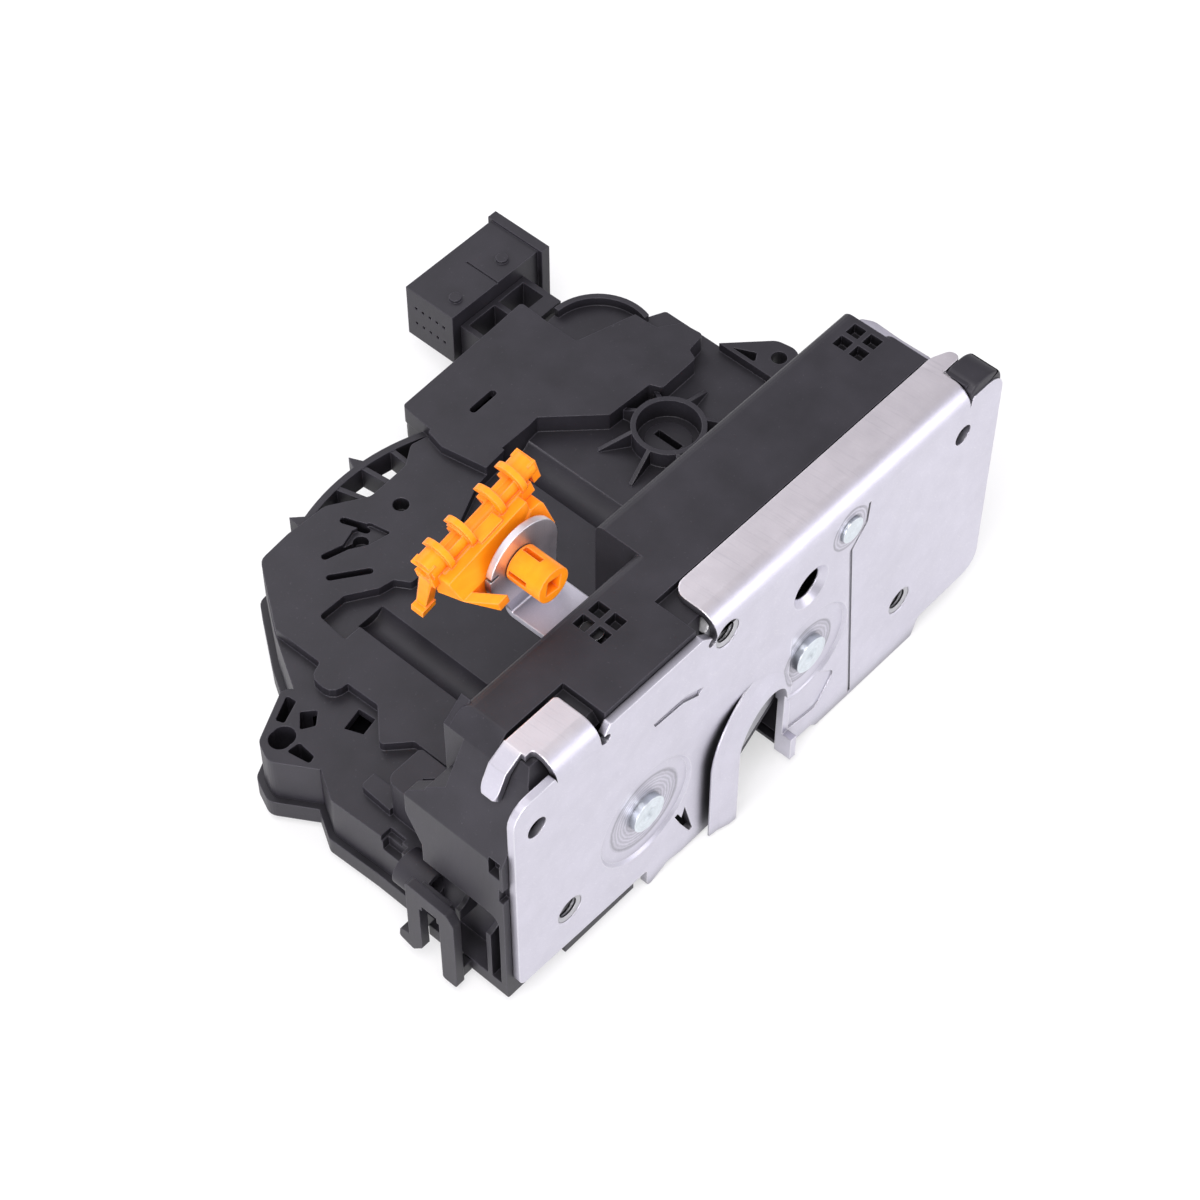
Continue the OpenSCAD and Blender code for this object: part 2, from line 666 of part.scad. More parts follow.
module catch_shape() {
    difference() {
        union() {
            intersection() {
                circle(r = catch_r, $fn = 96);
                polygon([[0, 0], 50 * [cos(138), sin(138)], 50 * [cos(175), sin(175)], 50 * [cos(215), sin(215)],
                    50 * [cos(250), sin(250)], 50 * [cos(299), sin(299)]]);
            }
            circle(r = 10.5);
            polygon([8 * [cos(40), sin(40)], 22 * [cos(100), sin(100)], (catch_r - 1) * [cos(141), sin(141)], 8 * [cos(235), sin(235)]]);
            polygon([8 * [cos(396), sin(396)], 4 * [cos(220), sin(220)], (catch_r - 1) * [cos(285), sin(285)], 22 * [cos(301), sin(301)]]);
        }
        // Full and half closing notches on the rim
        polygon([30 * [cos(206), sin(206)], 21.5 * [cos(207), sin(207)], 21.5 * [cos(214), sin(214)], 30 * [cos(222), sin(222)]]);
        polygon([30 * [cos(179), sin(179)], 23.6 * [cos(180), sin(180)], 25 * [cos(186), sin(186)], 30 * [cos(189), sin(189)]]);
    }
}

module at_catch() {
    translate([catch_x, 0, -catch_drop])
        children();
}

module catch() color([0.55, 0.55, 0.58]) difference() {
    at_catch()
        upright(works_y, catch_back)
            difference() {
                catch_shape();
                slot_shape(slot_w / 2 + lining_t);
            }
    pin_y(catch_at, pivot_r + fit_gap, 0, 20);
}

module catch_lining() color([0.2, 0.2, 0.22]) {
    at_catch()
        upright(works_y, catch_back)
            difference() {
                intersection() {
                    slot_shape(slot_w / 2 + lining_t);
                    catch_shape();
                }
                slot_shape(slot_w / 2);
            }
    difference() {
        pin_y(catch_at, 9.4, catch_back, frame_y - run_gap);
        pin_y(catch_at, pivot_r + 0.3, catch_back - 1, frame_y);
    }
}

// Pawl: arm to the catch's rim and an upright arm to the release finger

module pawl() color([0.6, 0.6, 0.63]) difference() {
    union() {
        upright(works_y, catch_back)
            polygon(outline([[-pawl_x - 7, -pawl_drop - 9, 3], [-pawl_x + 4, -pawl_drop - 9.5, 3], [-4, -28.6, 3], [2.6, -25.8, 0.4],
                [4.4, -19.6, 0.4], [-2, -19.2, 2], [-pawl_x + 6.6, -pawl_drop + 9, 4], [-lever_x - 3, -8, 2], [-lever_x - 3, 1, 0.6],
                [-lever_x - 7, 1, 1.2], [-pawl_x - 8, -pawl_drop + 6, 4]]));
        pin_y(pawl_at, 8, works_y, frame_y - run_gap);
    }
    pin_y(catch_at, catch_r + rim_gap, 0, 20);
    pin_y(pawl_at, pivot_r + fit_gap, 0, 20);
}

// Springs of catch and pawl: one turn of wire with two legs

module ring_spring(at, r, wire, y, a0, a1, leg0, leg1) {
    translate([at[0], y, at[1]])
        rotate([90, 0, 0])
            union() {
                rotate([0, 0, a0])
                    rotate_extrude(angle = a1 - a0)
                        translate([r, 0])
                            circle(r = wire, $fn = 16);
                rotate([0, 0, a0])
                    translate([r, 0, 0])
                        rotate([90, 0, 0])
                            translate([0, 0, -0.1])
                                cylinder(r = wire - 0.03, h = leg0, $fn = 16);
                rotate([0, 0, a1])
                    translate([r, 0, 0])
                        rotate([-90, 0, 0])
                            translate([0, 0, -0.1])
                                cylinder(r = wire - 0.03, h = leg1, $fn = 16);
            }
}

module catch_spring() color([0.75, 0.75, 0.78])
    ring_spring(catch_at, 10.6, 0.5, catch_back + 0.8, -60, 200, 9, 6);

module pawl_spring() color([0.75, 0.75, 0.78])
    ring_spring(pawl_at, 9.2, 0.5, catch_back + 0.8, -20, 245, 6, 8);

module mouth_buffer() color([0.1, 0.1, 0.1])
    upright(housing_depth - 9.4, housing_depth - 3.4 - seat_gap)
        difference() {
            intersection() {
                translate(mouth_at)
                    circle(r = mouth_half + 0.8 - seat_gap);
                translate([mouth_x - 6.6, -mouth_drop])
                    square([13.2, 20]);
            }
            translate([mouth_x, -mouth_drop - 2])
                circle(r = 8.4);
        }

// Case of the lock drive

case_plan = [[case_right, housing_depth + seat_gap], [case_right, 93.2, 1], [78, 98], [64.6, 107], [64.6, case_back, 1], [23.4, case_back - 1, 2],
    [22.6, 108.4, 1], [17.6, 107.6, 2], [12.3, 103.9, 2], [1, 103.4, 3], [-8, 109, 3], [-19, 109.4], [-28, 108.6, 3], [-38.6, 93.6, 2],
    [-61, 53.8, 2], [-60.4, 40.4], [-60.4, housing_depth + seat_gap]];
bulge_at = [70, 98];
bulge_r = 13.8;
boss_at = [-56.8, 72.6];

// Bracket round the left boss, and the three pockets beside its eye
bracket_plan = [[-50, 62], [-43, 76], [-47, 80.6, 0.8], [-48.6, 81.4, 0.8], [-60.9, 75.5, 3], [-63, 70.4, 3], [-57.2, 61]];
bracket_pockets = [[[-54.6, 76.9], [-53.9, 74.9], [-48.2, 77.1], [-48.5, 79.7]], [[-52.9, 71.3], [-49.9, 69.5], [-46.7, 72.1], [-49.6, 74.6]],
    [[-58.6, 69.4], [-57.5, 63.6], [-55.6, 64.2], [-55.2, 69]]];
// Shelf on the case beside the housing, and its depth
shelf_plan = [[-54.9, 24.1], [-44.5, 24.1], [-44.5, 43.3, 1], [-54.9, 43.3, 2.5]];
shelf_z = -33.6;
// End of the cable seat on the case's left wall
cable_seat_at = [-60.6, -47.6];

deck_plan = [[-39, 92.6], [-38.8, 79.2, 1], [-43, 78, 3], [-43, 71.4, 3], [-38.8, 70.9], [-38.5, 62.4, 1], [-45.4, 55, 1], [-40, 50, 1],
    [-40, housing_depth + seat_gap], [-26.4, housing_depth + seat_gap], [-26.4, 79.6], [-31, 79.6, 0.5], [-30.2, 88.2, 1], [-22.7, 88.1, 1],
    [-16.1, 83.9, 1], [-12.4, 83.2, 1], [-10.3, 79.8, 1], [0, 79.8], [18.6, 88, 1], [24, 88.8], [24, case_back - 1.4], [23.2, 106],
    [17.6, 107.3, 2], [12.3, 103.9, 2], [1, 103.4, 3], [-8, 109, 3], [-19, 109.4], [-28, 108.6, 3]];
cover_plan = [[22.6, 88.6, 0.5], [41.1, 90.3, 0.5], [52.6, 78.7, 0.5], [65.5, 78.1, 1], [66.6, 75.2, 1], [78.4, 75.5, 1], [79.5, 78.3, 1],
    [85.2, 79.1, 1], [84.6, 85.1, 1], [79.6, 88.5, 1], [79.4, 94.9], [64, 99.4, 1], [64, 108.5], [64.4, 117, 1], [54, case_back, 1],
    [23.2, case_back - 1.2, 1], [22.4, 105.7], [21.5, 105.4], [20.4, 100.4]];

cover_room = [[25, 91.4], [42, 92.6], [54, 81.4], [77, 81.4], [77, 92], [62, 97.4], [62, 113.6], [25.6, 113]];

module case_shape(grow) {
    union() {
        polygon(outline(grown(case_plan, grow), 3));
        translate(bulge_at)
            circle(r = bulge_r + grow);
        polygon(outline(grown(bracket_plan, grow), 4));
    }
}

module case_room() {
    union() {
        polygon(inset(case_plan, wall_t));
        translate(bulge_at)
            circle(r = bulge_r - wall_t);
    }
}

module key_boss_ribs() {
    for (a = [10:45:350])
        translate([key_x, key_y, plane_z - 0.5])
            rotate([0, 0, a])
                translate([key_boss_in_r, -0.5, 0])
                    rotate([90, 0, 0])
                        translate([0, 0, -1])
                            linear_extrude(1)
                                polygon([[0, 0], [9, 0], [9, 0.9], [1.2, 5], [0, 5]]);
}

module actuator_case() color([0.14, 0.14, 0.15]) difference() {
    union() {
        level(parting_z, plane_z)
            case_shape(0);
        level(plane_z - eps, deck_z)
            polygon(outline([for (i = [len(deck_plan) - 1:-1:0]) deck_plan[i]], 3));
        level(plane_z - eps, cover_z)
            polygon(outline(cover_plan, 3));
        // Rim of the round recess
        level(plane_z - eps, deck_z)
            difference() {
                translate(bulge_at)
                    circle(r = bulge_r);
                translate(bulge_at)
                    circle(r = bulge_r - 1.4);
                translate([40, 60])
                    square([30, 60]);
                translate([40, 60])
                    square([60, 34]);
            }
        translate([key_x, key_y, plane_z - eps])
            cylinder(r = key_boss_in_r + key_boss_wall, h = 4.5);
        key_boss_ribs();
        // Shelf, small block and hooded cable seat at the left front corner
        level(plane_z - eps, shelf_z)
            polygon(outline(shelf_plan));
        level(plane_z - eps, plane_z + 2.2)
            polygon(outline([[-55.6, 42], [-51, 42], [-51.2, 50.8], [-55.2, 50.8, 1]]));
        pin_y(cable_seat_at, 4.4, housing_depth + seat_gap, 32.4);
        // Comb of slanted ribs with its rim
        comb();
        // Lugs with holes
        level(deck_z - 5, deck_z)
            polygon(outline([[case_right - 1, 76], [case_right - 1, 56], [94, 57.4, 3], [98, 61, 4], [97, 66.6, 4]]));
        level(parting_z, parting_z + 3)
            translate([31, 117.5])
                circle(r = 3.6);
        // Neck to the connector
        level(parting_z + 2, deck_z - 2)
            translate([52.5, case_back - 3])
                square([21.5, hood_y - case_back + 3 - seat_gap]);
    }
    // Inside of the case under each level, clear of the troughs
    difference() {
        union() {
            level(parting_z - 1, plane_z - wall_t)
                case_room();
            level(plane_z - 3, cover_z - wall_t)
                polygon(cover_room);
        }
        trough_at(trough_a, trough_skin);
        trough_at(trough_b, trough_skin);
    }
    // Neck pockets
    level(parting_z - 1, deck_z - 1)
        translate([54, case_back + 1])
            square([8.6, hood_y - case_back - 2.4]);
    level(parting_z - 1, deck_z - 1)
        translate([64, case_back + 1])
            square([8.4, hood_y - case_back - 2.4]);
    level(parting_z - 1, deck_z - 4)
        translate([54, case_back - 4])
            square([18.4, 6]);
    // Key boss
    translate([key_x, key_y, plane_z - wall_t - 1])
        cylinder(r = key_hole_r, h = 12);
    translate([key_x, key_y, plane_z - 1])
        cylinder(r = key_boss_in_r, h = 12);
    // Half-round troughs
    trough_at(trough_a, 0);
    trough_at(trough_b, 0);
    // Holes and slots in the decks
    for (h = [[3.7, 96.8, 1.9], [51.8, 97.4, 1.6], [-9.3, 96.5, 1.8]])
        translate([h[0], h[1], deck_z - 4])
            cylinder(r = h[2], h = 6);
    slot([33.1, 102.5], [39.6, 102.7], 0.9);
    slot([-21.3, 93.9], [-14.2, 88.8], 0.85);
    slot([-17.9, 98.8], [-10.4, 96.6], 0.9);
    slot([-8, 103], [-6, 98], 0.9);
    level(deck_z - 1.2, deck_z + 1)
        polygon(outline([[-15, 97.6], [-9, 94, 1], [-3.4, 92.8, 0.5], [-4.6, 98.4, 1], [-8.6, 99.6, 1]]));
    level(plane_z - 3, plane_z + 1)
        polygon([[-40.7, 65.8], [-40.3, 61.4], [-44.7, 60.5], [-46.4, 64.6]]);
    translate([93.2, 62.8, deck_z - 10])
        cylinder(r = 1.9, h = 20);
    level(deck_z - 10, deck_z + 1)
        polygon(outline([[case_right, 73], [case_right, 66, 0.5], [91, 67.6, 0.5]]));
    translate([31, 117.8, parting_z - 1])
        cylinder(r = 1.3, h = 10);
    // Eye and pockets of the left bracket
    translate([boss_at[0], boss_at[1], plane_z - 10])
        linear_extrude(20)
            for (side = [-0.6, 0.6])
                translate([side, 0])
                    circle(r = 2.55);
    for (pocket = bracket_pockets)
        level(plane_z - 9, plane_z + 1)
            polygon(outline([for (p = pocket) [p[0], p[1], 0.5]], 3));
    // Square hole in the shelf
    translate([-49.6, 34.6, shelf_z - 6])
        rotate([0, 0, 45])
            translate([-2.2, -2.2, 0])
                cube([4.4, 4.4, 8]);
    // Way of the cable through its seat, and the notch in the left edge
    pin_y(cable_seat_at, 3.1, housing_depth, 31.5);
    translate([-62, 34, plane_z - 4.5])
        cube([3.4, 5.6, 6]);
    translate([-62, 35.6, plane_z - 1.6])
        cube([4.6, 4.4, 3]);
}

// Half-round troughs in the low plane: middle, radius, back end and depth
trough_a = [-21.6, 4, 81.4, 2.6];
trough_b = [33.5, 5, 90, 2.4];
trough_skin = 1.4;

module trough_at(t, grow) {
    translate([t[0], housing_depth - grow, plane_z + t[1] - t[3]])
        rotate([-90, 0, 0])
            cylinder(r = t[1] + grow, h = t[2] - housing_depth + 2 * grow);
}

module slot(a, b, half) {
    turn = atan2(b[1] - a[1], b[0] - a[0]);
    level(cover_z - 8, cover_z + 4)
        polygon(concat(arc(b, half, turn - 90, turn + 90, 6), arc(a, half, turn + 90, turn + 270, 6)));
}

comb_c = [2, 60];
comb_r = 52.6;

module comb() {
    difference() {
        union() {
            level(deck_z - 7, deck_z - 0.6)
                intersection() {
                    translate(comb_c)
                        difference() {
                            circle(r = comb_r, $fn = 96);
                            circle(r = comb_r - 1.6, $fn = 96);
                        }
                    polygon([comb_c, comb_c + 80 * [cos(66), sin(66)], comb_c + 80 * [cos(90), sin(90)], comb_c + 80 * [cos(113), sin(113)]]);
                }
            for (a = [74:9:110])
                translate([comb_c[0], comb_c[1], deck_z - 7])
                    rotate([0, 0, a])
                        translate([comb_r - 9.6, -0.5, 0])
                            rotate([0, 0, 14])
                                cube([9, 1.2, 6.2]);
            for (a = [86, 108])
                level(deck_z - 7, deck_z - 0.6)
                    translate(comb_c)
                        rotate(a)
                            polygon([[comb_r - 1, -2.2], [comb_r + 3, 0], [comb_r - 1, 1.6]]);
        }
    }
}

module bottom_cover() color([0.11, 0.11, 0.12]) difference() {
    level(base_z, parting_z)
        case_shape(cover_lip);
    level(floor_z, parting_z + 1)
        case_room();
    translate([-120, -10, base_z - 1])
        cube([240, 10 + housing_depth + seat_gap, 20]);
}

// Connector

module connector_hood() color([0.13, 0.13, 0.14]) difference() {
    union() {
        translate([hood_x, hood_y, cover_z - hood_h])
            cube([hood_l, hood_d, hood_h]);
        translate([hood_x + hood_l - 1, hood_y - 1.4, cover_z - hood_h - 1])
            cube([2.6, hood_d + 2.4, hood_h + 1.6]);
        for (p = [[5, 3.8], [21.4, 4.4]])
            translate([hood_x + p[0], hood_y + p[1], cover_z - 1])
                cylinder(r = 1.5, h = 1.7);
    }
    translate([hood_x + 8, hood_y + 1.6, cover_z - hood_h + 1.6])
        cube([hood_l, hood_d - 3.2, hood_h - 3.2]);
    translate([hood_x + 15, hood_y - 1, cover_z - 0.4])
        cube([0.5, hood_d - 4, 1]);
    for (i = [0:contact_count - 1], j = [0, 1])
        translate([hood_x - 1, hood_y + 3 + i * (hood_d - 6) / (contact_count - 1) - 0.42, cover_z - hood_h + 5.2 + j * 5 - 0.42])
            cube([12, 0.84, 0.84]);
}

module contact_pins() color([0.85, 0.7, 0.4])
    for (i = [0:contact_count - 1], j = [0, 1])
        translate([hood_x + 2, hood_y + 3 + i * (hood_d - 6) / (contact_count - 1) - 0.4, cover_z - hood_h + 5.2 + j * 5 - 0.4])
            cube([20, 0.8, 0.8]);

// Lock drive

function gear_tooth(m, n, add, ded, back) =
    let (rp = m * n / 2, rb = rp * cos(25), ra = rp + add, rr = rp - ded)
    let (half = 90 / n - back / rp * 90 / PI, tp = involute_t(rb, rp), ap = tp - atan(tp * PI / 180))
    let (flank = [for (i = [0:4]) let (r = max(rb, rr) + (ra - max(rb, rr)) * i / 4, t = involute_t(rb, r)) spin(involute(rb, t), -half - ap)])
    concat([rr * [cos(-half - ap * 1.0), sin(-half - ap * 1.0)]], flank, [for (i = [4:-1:0]) mirror_y(flank[i])],
        [rr * [cos(half + ap * 1.0), sin(half + ap * 1.0)]]);

function gear_points(m, n, add, ded, back, from = 0, to = 0) =
    [for (k = [from:(to == 0 ? n - 1 : to)]) each [for (p = gear_tooth(m, n, add, ded, back)) spin(p, k * 360 / n)]];

module worm_wheel() color([0.93, 0.93, 0.9]) difference() {
    union() {
        translate([wheel_x, wheel_y, drive_z - wheel_t / 2])
            linear_extrude(wheel_t)
                rotate(90)
                    polygon(gear_points(2 * pitch_r / wheel_teeth, wheel_teeth, worm_addendum, worm_addendum * 1.2, 0.35));
        translate([wheel_x, wheel_y, drive_z])
            linear_extrude(wheel_t / 2 + run_gap + lock_lever_t)
                rotate(lever_dir + 180 / small_gear_teeth)
                    polygon(gear_points(gear_module, small_gear_teeth, gear_module * 0.8, gear_module, 0.12));
    }
    translate([wheel_x, wheel_y, drive_z - 10])
        cylinder(r = 2 + fit_gap, h = 30);
    for (a = [0:60:300])
        translate([wheel_x, wheel_y, drive_z - 3])
            rotate([0, 0, a])
                translate([11.2, 0, 0])
                    cylinder(r = 1.6, h = 1.8);
}

module wheel_axle() color([0.7, 0.7, 0.73])
    translate([wheel_x, wheel_y, floor_z])
        cylinder(r = 2, h = plane_z - wall_t - floor_z - seat_gap);

function worm_profile() = [for (a = [0:18:342])
    let (k = a < 180 ? a / 180 : (360 - a) / 180)
    (worm_root_r + 0.1 + (worm_pitch / PI + worm_addendum) * max(0, min(1, (k - 0.42) / 0.3)) * 0.92) * [cos(a), sin(a)]];

module motor_worm() color([0.9, 0.9, 0.87]) {
    translate([wheel_x - 9, worm_y, drive_z])
        rotate([0, 90, 0])
            rotate([0, 0, 180])
                linear_extrude(height = 18, twist = -18 / worm_pitch * 360, slices = 40)
                    polygon(worm_profile());
    translate([wheel_x + 9 - eps, worm_y, drive_z])
        rotate([0, 90, 0])
            cylinder(r = 1.2, h = motor_x - wheel_x);
    translate([wheel_x - 12, worm_y, drive_z])
        rotate([0, 90, 0])
            cylinder(r = 1.2, h = 3 + eps);
}

motor_x = wheel_x + 18.4;

module lock_motor() color([0.72, 0.73, 0.75]) difference() {
    union() {
        intersection() {
            translate([motor_x, worm_y, drive_z])
                rotate([0, 90, 0])
                    cylinder(r = motor_d / 2, h = motor_l);
            translate([motor_x - 1, worm_y - motor_d, drive_z - motor_h / 2])
                cube([motor_l + 2, 2 * motor_d, motor_h]);
        }
        translate([motor_x - 2, worm_y, drive_z])
            rotate([0, 90, 0])
                cylinder(r = 3.4, h = 3);
    }
    translate([motor_x - 3, worm_y, drive_z])
        rotate([0, 90, 0])
            cylinder(r = 1.2 + fit_gap, h = 14);
}

module lock_lever() color([0.85, 0.85, 0.82]) difference() {
    translate([lock_x, lock_y, lock_lever_z])
        union() {
            linear_extrude(lock_lever_t)
                rotate(lever_dir + 180)
                    polygon(concat([[0, 0]], gear_points(gear_module, sector_teeth, gear_module * 0.8, gear_module, 0.12, -4, 4)));
            linear_extrude(lock_lever_t)
                circle(r = 5.5);
            linear_extrude(lock_lever_t)
                polygon(outline([[-3, -5], [3, -5], [13, -22, 3], [7, -25, 3]]));
        }
    translate([lock_x, lock_y, drive_z - 10])
        cylinder(r = 2.5 + fit_gap, h = 30);
}

module lock_lever_axle() color([0.7, 0.7, 0.73])
    translate([lock_x, lock_y, floor_z])
        cylinder(r = 2.5, h = lock_lever_z + lock_lever_t + 0.4 - floor_z);

module lever_buffers() color([0.1, 0.1, 0.1])
    for (p = [[lock_x - 16, lock_y - 20], [lock_x + 22, lock_y - 26]])
        translate([p[0], p[1], floor_z])
            cylinder(r = 2.2, h = lock_lever_z + lock_lever_t - floor_z);

module circuit_board() color([0.1, 0.35, 0.2])
    level(floor_z, base_z + 3.6)
        polygon([[64, 30], [84, 30], [84, 88], [70, 88], [64, 78]]);

module catch_switch() color([0.15, 0.15, 0.18])
    translate([44.1, frame_back + 0.2, -35.9])
        cube([8.2, 7.8, 18.2]);

module lock_switch() color([0.15, 0.15, 0.18])
    translate([6, 50, floor_z])
        cube([13, 6.4, 8]);

module key_coupler() color([0.2, 0.2, 0.21]) difference() {
    union() {
        translate([key_x, key_y, plane_z - wall_t - 6])
            cylinder(r = key_hole_r - fit_gap, h = 6 + wall_t - 0.6);
        translate([key_x, key_y, plane_z - wall_t - 5])
            cylinder(r = 8, h = 5 - run_gap);
        translate([key_x, key_y, plane_z - wall_t - 5])
            linear_extrude(2.2)
                polygon(outline([[-3, 4], [-3, -4], [3, -14, 2], [8, -13, 2], [6, 4]]));
    }
    translate([key_x - 0.9, key_y - 3.6, plane_z - wall_t - 3])
        cube([1.8, 7.2, 10]);
}

// Outside release lever

tab_x0 = -26.3;
tab_x1 = -13.3;
lever_z = 1.6;
ear_y = tab_reach - lever_t;
ear_at = [-22.2, 15.4];
clip_at = [-clip_x, clip_h];

module release_lever() color([0.76, 0.76, 0.8]) difference() {
    union() {
        level(lever_z, lever_z + lever_t)
            union() {
                polygon(outline([[-lever_x - 2.5, 4], [-lever_x + 0.7, 4], [-lever_x + 4, lever_y - 5, 3], [tab_x1, lever_y + 5, 2],
                    [tab_x1, tab_reach - 2], [tab_x0, tab_reach - 2], [tab_x0, lever_y + 3, 2], [-lever_x - 5, lever_y, 2]]));
                translate([-lever_x, lever_y])
                    circle(r = 6);
            }
        // Finger folded down in front of the pawl's arm
        translate([-lever_x - 2.5, 4, -2.2])
            cube([3.2, 1.5, lever_z + lever_t + 2.2]);
        // Fold and round ear
        along(tab_x0, tab_x1)
            translate([tab_reach - 2, lever_z + 2])
                difference() {
                    circle(r = 2);
                    circle(r = 2 - lever_t);
                    translate([-3, -3])
                        square([3, 6]);
                    translate([-3, 0])
                        square([6, 3]);
                }
        upright(ear_y, tab_reach)
            union() {
                translate(ear_at)
                    circle(r = ear_r);
                polygon([[tab_x0, lever_z + 2], [tab_x1, lever_z + 2], [tab_x1 + 0.4, 14], [tab_x0 - 3.6, 12]]);
            }
    }
    translate([-lever_x, lever_y, -5])
        cylinder(r = lever_pin_r + fit_gap, h = 12);
    pin_y(clip_at, clip_neck_r + fit_gap, 20, 50);
    upright(30, 40)
        translate([ear_at[0] - ear_r - 1, ear_at[1] + 1.6])
            square([3.4, 0.8]);
}

module release_lever_pin() color([0.7, 0.7, 0.73]) {
    translate([-lever_x, lever_y, -3])
        cylinder(r = lever_pin_r, h = 9);
}

module release_lever_spring() color([0.75, 0.75, 0.78])
    translate([-lever_x, lever_y, -2.3])
        union() {
            for (k = [0:2])
                translate([0, 0, 0.5 + k * 1.05])
                    rotate_extrude()
                        translate([4.6, 0])
                            circle(r = 0.5, $fn = 16);
        }

// Rod clip

module at_clip() {
    translate([clip_at[0], 0, clip_at[1]])
        children();
}

cradle_y = tab_reach + 5.6;
cradle_z = 9.8;

module rod_clip() color([1, 0.63, 0.16]) at_clip() difference() {
    union() {
        // Spreading pin with its neck
        rotate([-90, 0, 0])
            translate([0, 0, 25])
                union() {
                    cylinder(r = clip_pin_r, h = ear_y - 25 - 0.2);
                    cylinder(r = clip_neck_r, h = tab_reach - 25 + 2);
                    cylinder(r1 = clip_pin_r - 0.6, r2 = clip_pin_r, h = 1);
                }
        rotate([0, -cradle_tilt, 0])
            union() {
                clip_body();
                for (side = [-1, 1])
                    cradle(side);
            }
    }
    // Way of the rod through the cradles, open at the back
    rotate([0, -cradle_tilt, 0])
        translate([-30, cradle_y, cradle_z])
            rotate([0, 90, 0])
                cylinder(r = rod_r, h = 60);
    rotate([0, -cradle_tilt, 0])
        translate([-30, cradle_y, cradle_z - rod_r * 0.8])
            cube([60, 20, rod_r * 1.6]);
    // Windows between each cradle's arched ribs
    for (x = [-9.7, 5.4])
        rotate([0, -cradle_tilt, 0])
            translate([x, cradle_y - 2, cradle_z + 0.6])
                cube([4.3, 8, 9]);
    // Slots that let the pin spread, and its square socket
    for (a = [0, 90])
        rotate([0, a + 10, 0])
            translate([-0.6, 28.6, -8])
                cube([1.2, ear_y - 29.2, 16]);
    rotate([0, 10, 0])
        translate([-1.9, 20, -1.9])
            cube([3.8, 8, 3.8]);
}

// Plate behind the ear, with the lug, the stepped block and both legs
module clip_body() {
    upright(tab_reach + 0.2, tab_reach + 3.4)
        polygon(outline([[-13.8, 0, 0.6], [-10.6, 0, 0.5], [-9.4, -5, 1], [7, -5.6, 1], [11.4, -3.4, 1], [11.4, 5, 0.8], [8.6, 5.2, 0.5], [8.6, 8.4], [-13.8, 8.4, 0.6]]));
    translate([-12.6, tab_reach + 2.4, cradle_z - 4.4])
        cube([25, 4.6, 3.2]);
    translate([-3.4, tab_reach + 1, 3.6])
        cube([6.2, 5, 5.4]);
    // Left leg with its foot
    translate([-15.6, cradle_y - 1.4, -7.4])
        cube([2.6, 2.6, 15]);
    translate([-16.8, cradle_y - 1.8, -8.4])
        cube([3.8, 3.2, 2.2]);
    // Foot that runs forward past the ear
    translate([-13.8, tab_reach - 5, -0.2])
        cube([2.6, 8, 2.6]);
    // Small lug under the plate
    translate([-6.4, tab_reach + 0.6, -7.4])
        cube([3.4, 2.6, 3]);
}

// One cradle of the rod: a round core with two arched ribs and a closed end
module cradle(side) {
    translate([side > 0 ? 3.6 : -14.8, cradle_y, cradle_z])
        rotate([0, 90, 0])
            cylinder(r = rod_r + 0.9, h = 11.2);
    for (x = [4.3, 10.4])
        translate([side * x - 0.7, cradle_y, cradle_z])
            rotate([0, 90, 0])
                cylinder(r = rod_r + 1.9, h = 1.4);
    translate([side > 0 ? 13.4 : -15.4, cradle_y - 2.4, cradle_z - 4])
        cube([2, 4.8, 6]);
}

// Inside release lever with the cable's end

inside_x = -44;
inside_y = 44;

module inside_lever() color([0.72, 0.72, 0.75]) difference() {
    translate([inside_x, inside_y, parting_z + 1])
        linear_extrude(2)
            union() {
                circle(r = 5.4);
                polygon(outline([[-4, -3], [0, -5], [7, -14, 2], [12, -12, 2], [4, 2]]));
                polygon(outline([[-5, 0], [3, 3], [-1, 14, 2], [-7, 13, 2]]));
            }
    translate([inside_x, inside_y, parting_z - 3])
        cylinder(r = 2.2 + fit_gap, h = 12);
}

module inside_lever_axle() color([0.7, 0.7, 0.73])
    translate([inside_x, inside_y, floor_z])
        cylinder(r = 2.2, h = plane_z - wall_t - floor_z - seat_gap);

// An inverted h of two legs, held off the housing's left wall by its ribs
retainer_y = [11.4, 24.6];
retainer_top = -36.6;

module cable_retainer() color([0.13, 0.13, 0.14]) {
    x = -wall_left - 5;
    difference() {
        along(x, x + 2.2)
            polygon(outline([[retainer_y[0], base_z, 0.8], [retainer_y[0] + 4, base_z, 0.8], [retainer_y[0] + 4, retainer_top - 6],
                [retainer_y[1] - 3.6, retainer_top - 6], [retainer_y[1] - 3.6, base_z + 5, 0.5], [retainer_y[1] - 1, base_z + 2, 0.5],
                [retainer_y[1] + 3, base_z + 3.2, 1], [retainer_y[1] + 2.6, base_z + 6.4, 0.8],
                [retainer_y[1], base_z + 7], [retainer_y[1], retainer_top, 0.8], [retainer_y[0] + 1.6, retainer_top - 0.6, 1.6], [retainer_y[0], retainer_top - 3, 1.6]]));
        along(x - 1, x + 3)
            polygon([[retainer_y[0] + 4.6, retainer_top - 6], [retainer_y[1] - 4.4, retainer_top - 6], [retainer_y[1] - 4.4, retainer_top - 4.4], [retainer_y[0] + 4.6, retainer_top - 4.4]]);
    }
    // Ribs to the housing's lower ledge and to the wall above the cable's room
    translate([x + 2.2 - eps, retainer_y[0] + 0.6, base_z + 0.8])
        cube([-wall_left - x - 2.2 + eps, 2.4, 3.4]);
    translate([x + 2.2 - eps, retainer_y[0] + 3, retainer_top - 3])
        cube([1.2, 8, 2]);
}

module cover_screws() color([0.5, 0.5, 0.53])
    for (p = [[80, 44], [-30, 98], [80, 84]])
        translate([p[0], p[1], base_z - 1.4])
            cylinder(r = 3, h = 1.4);

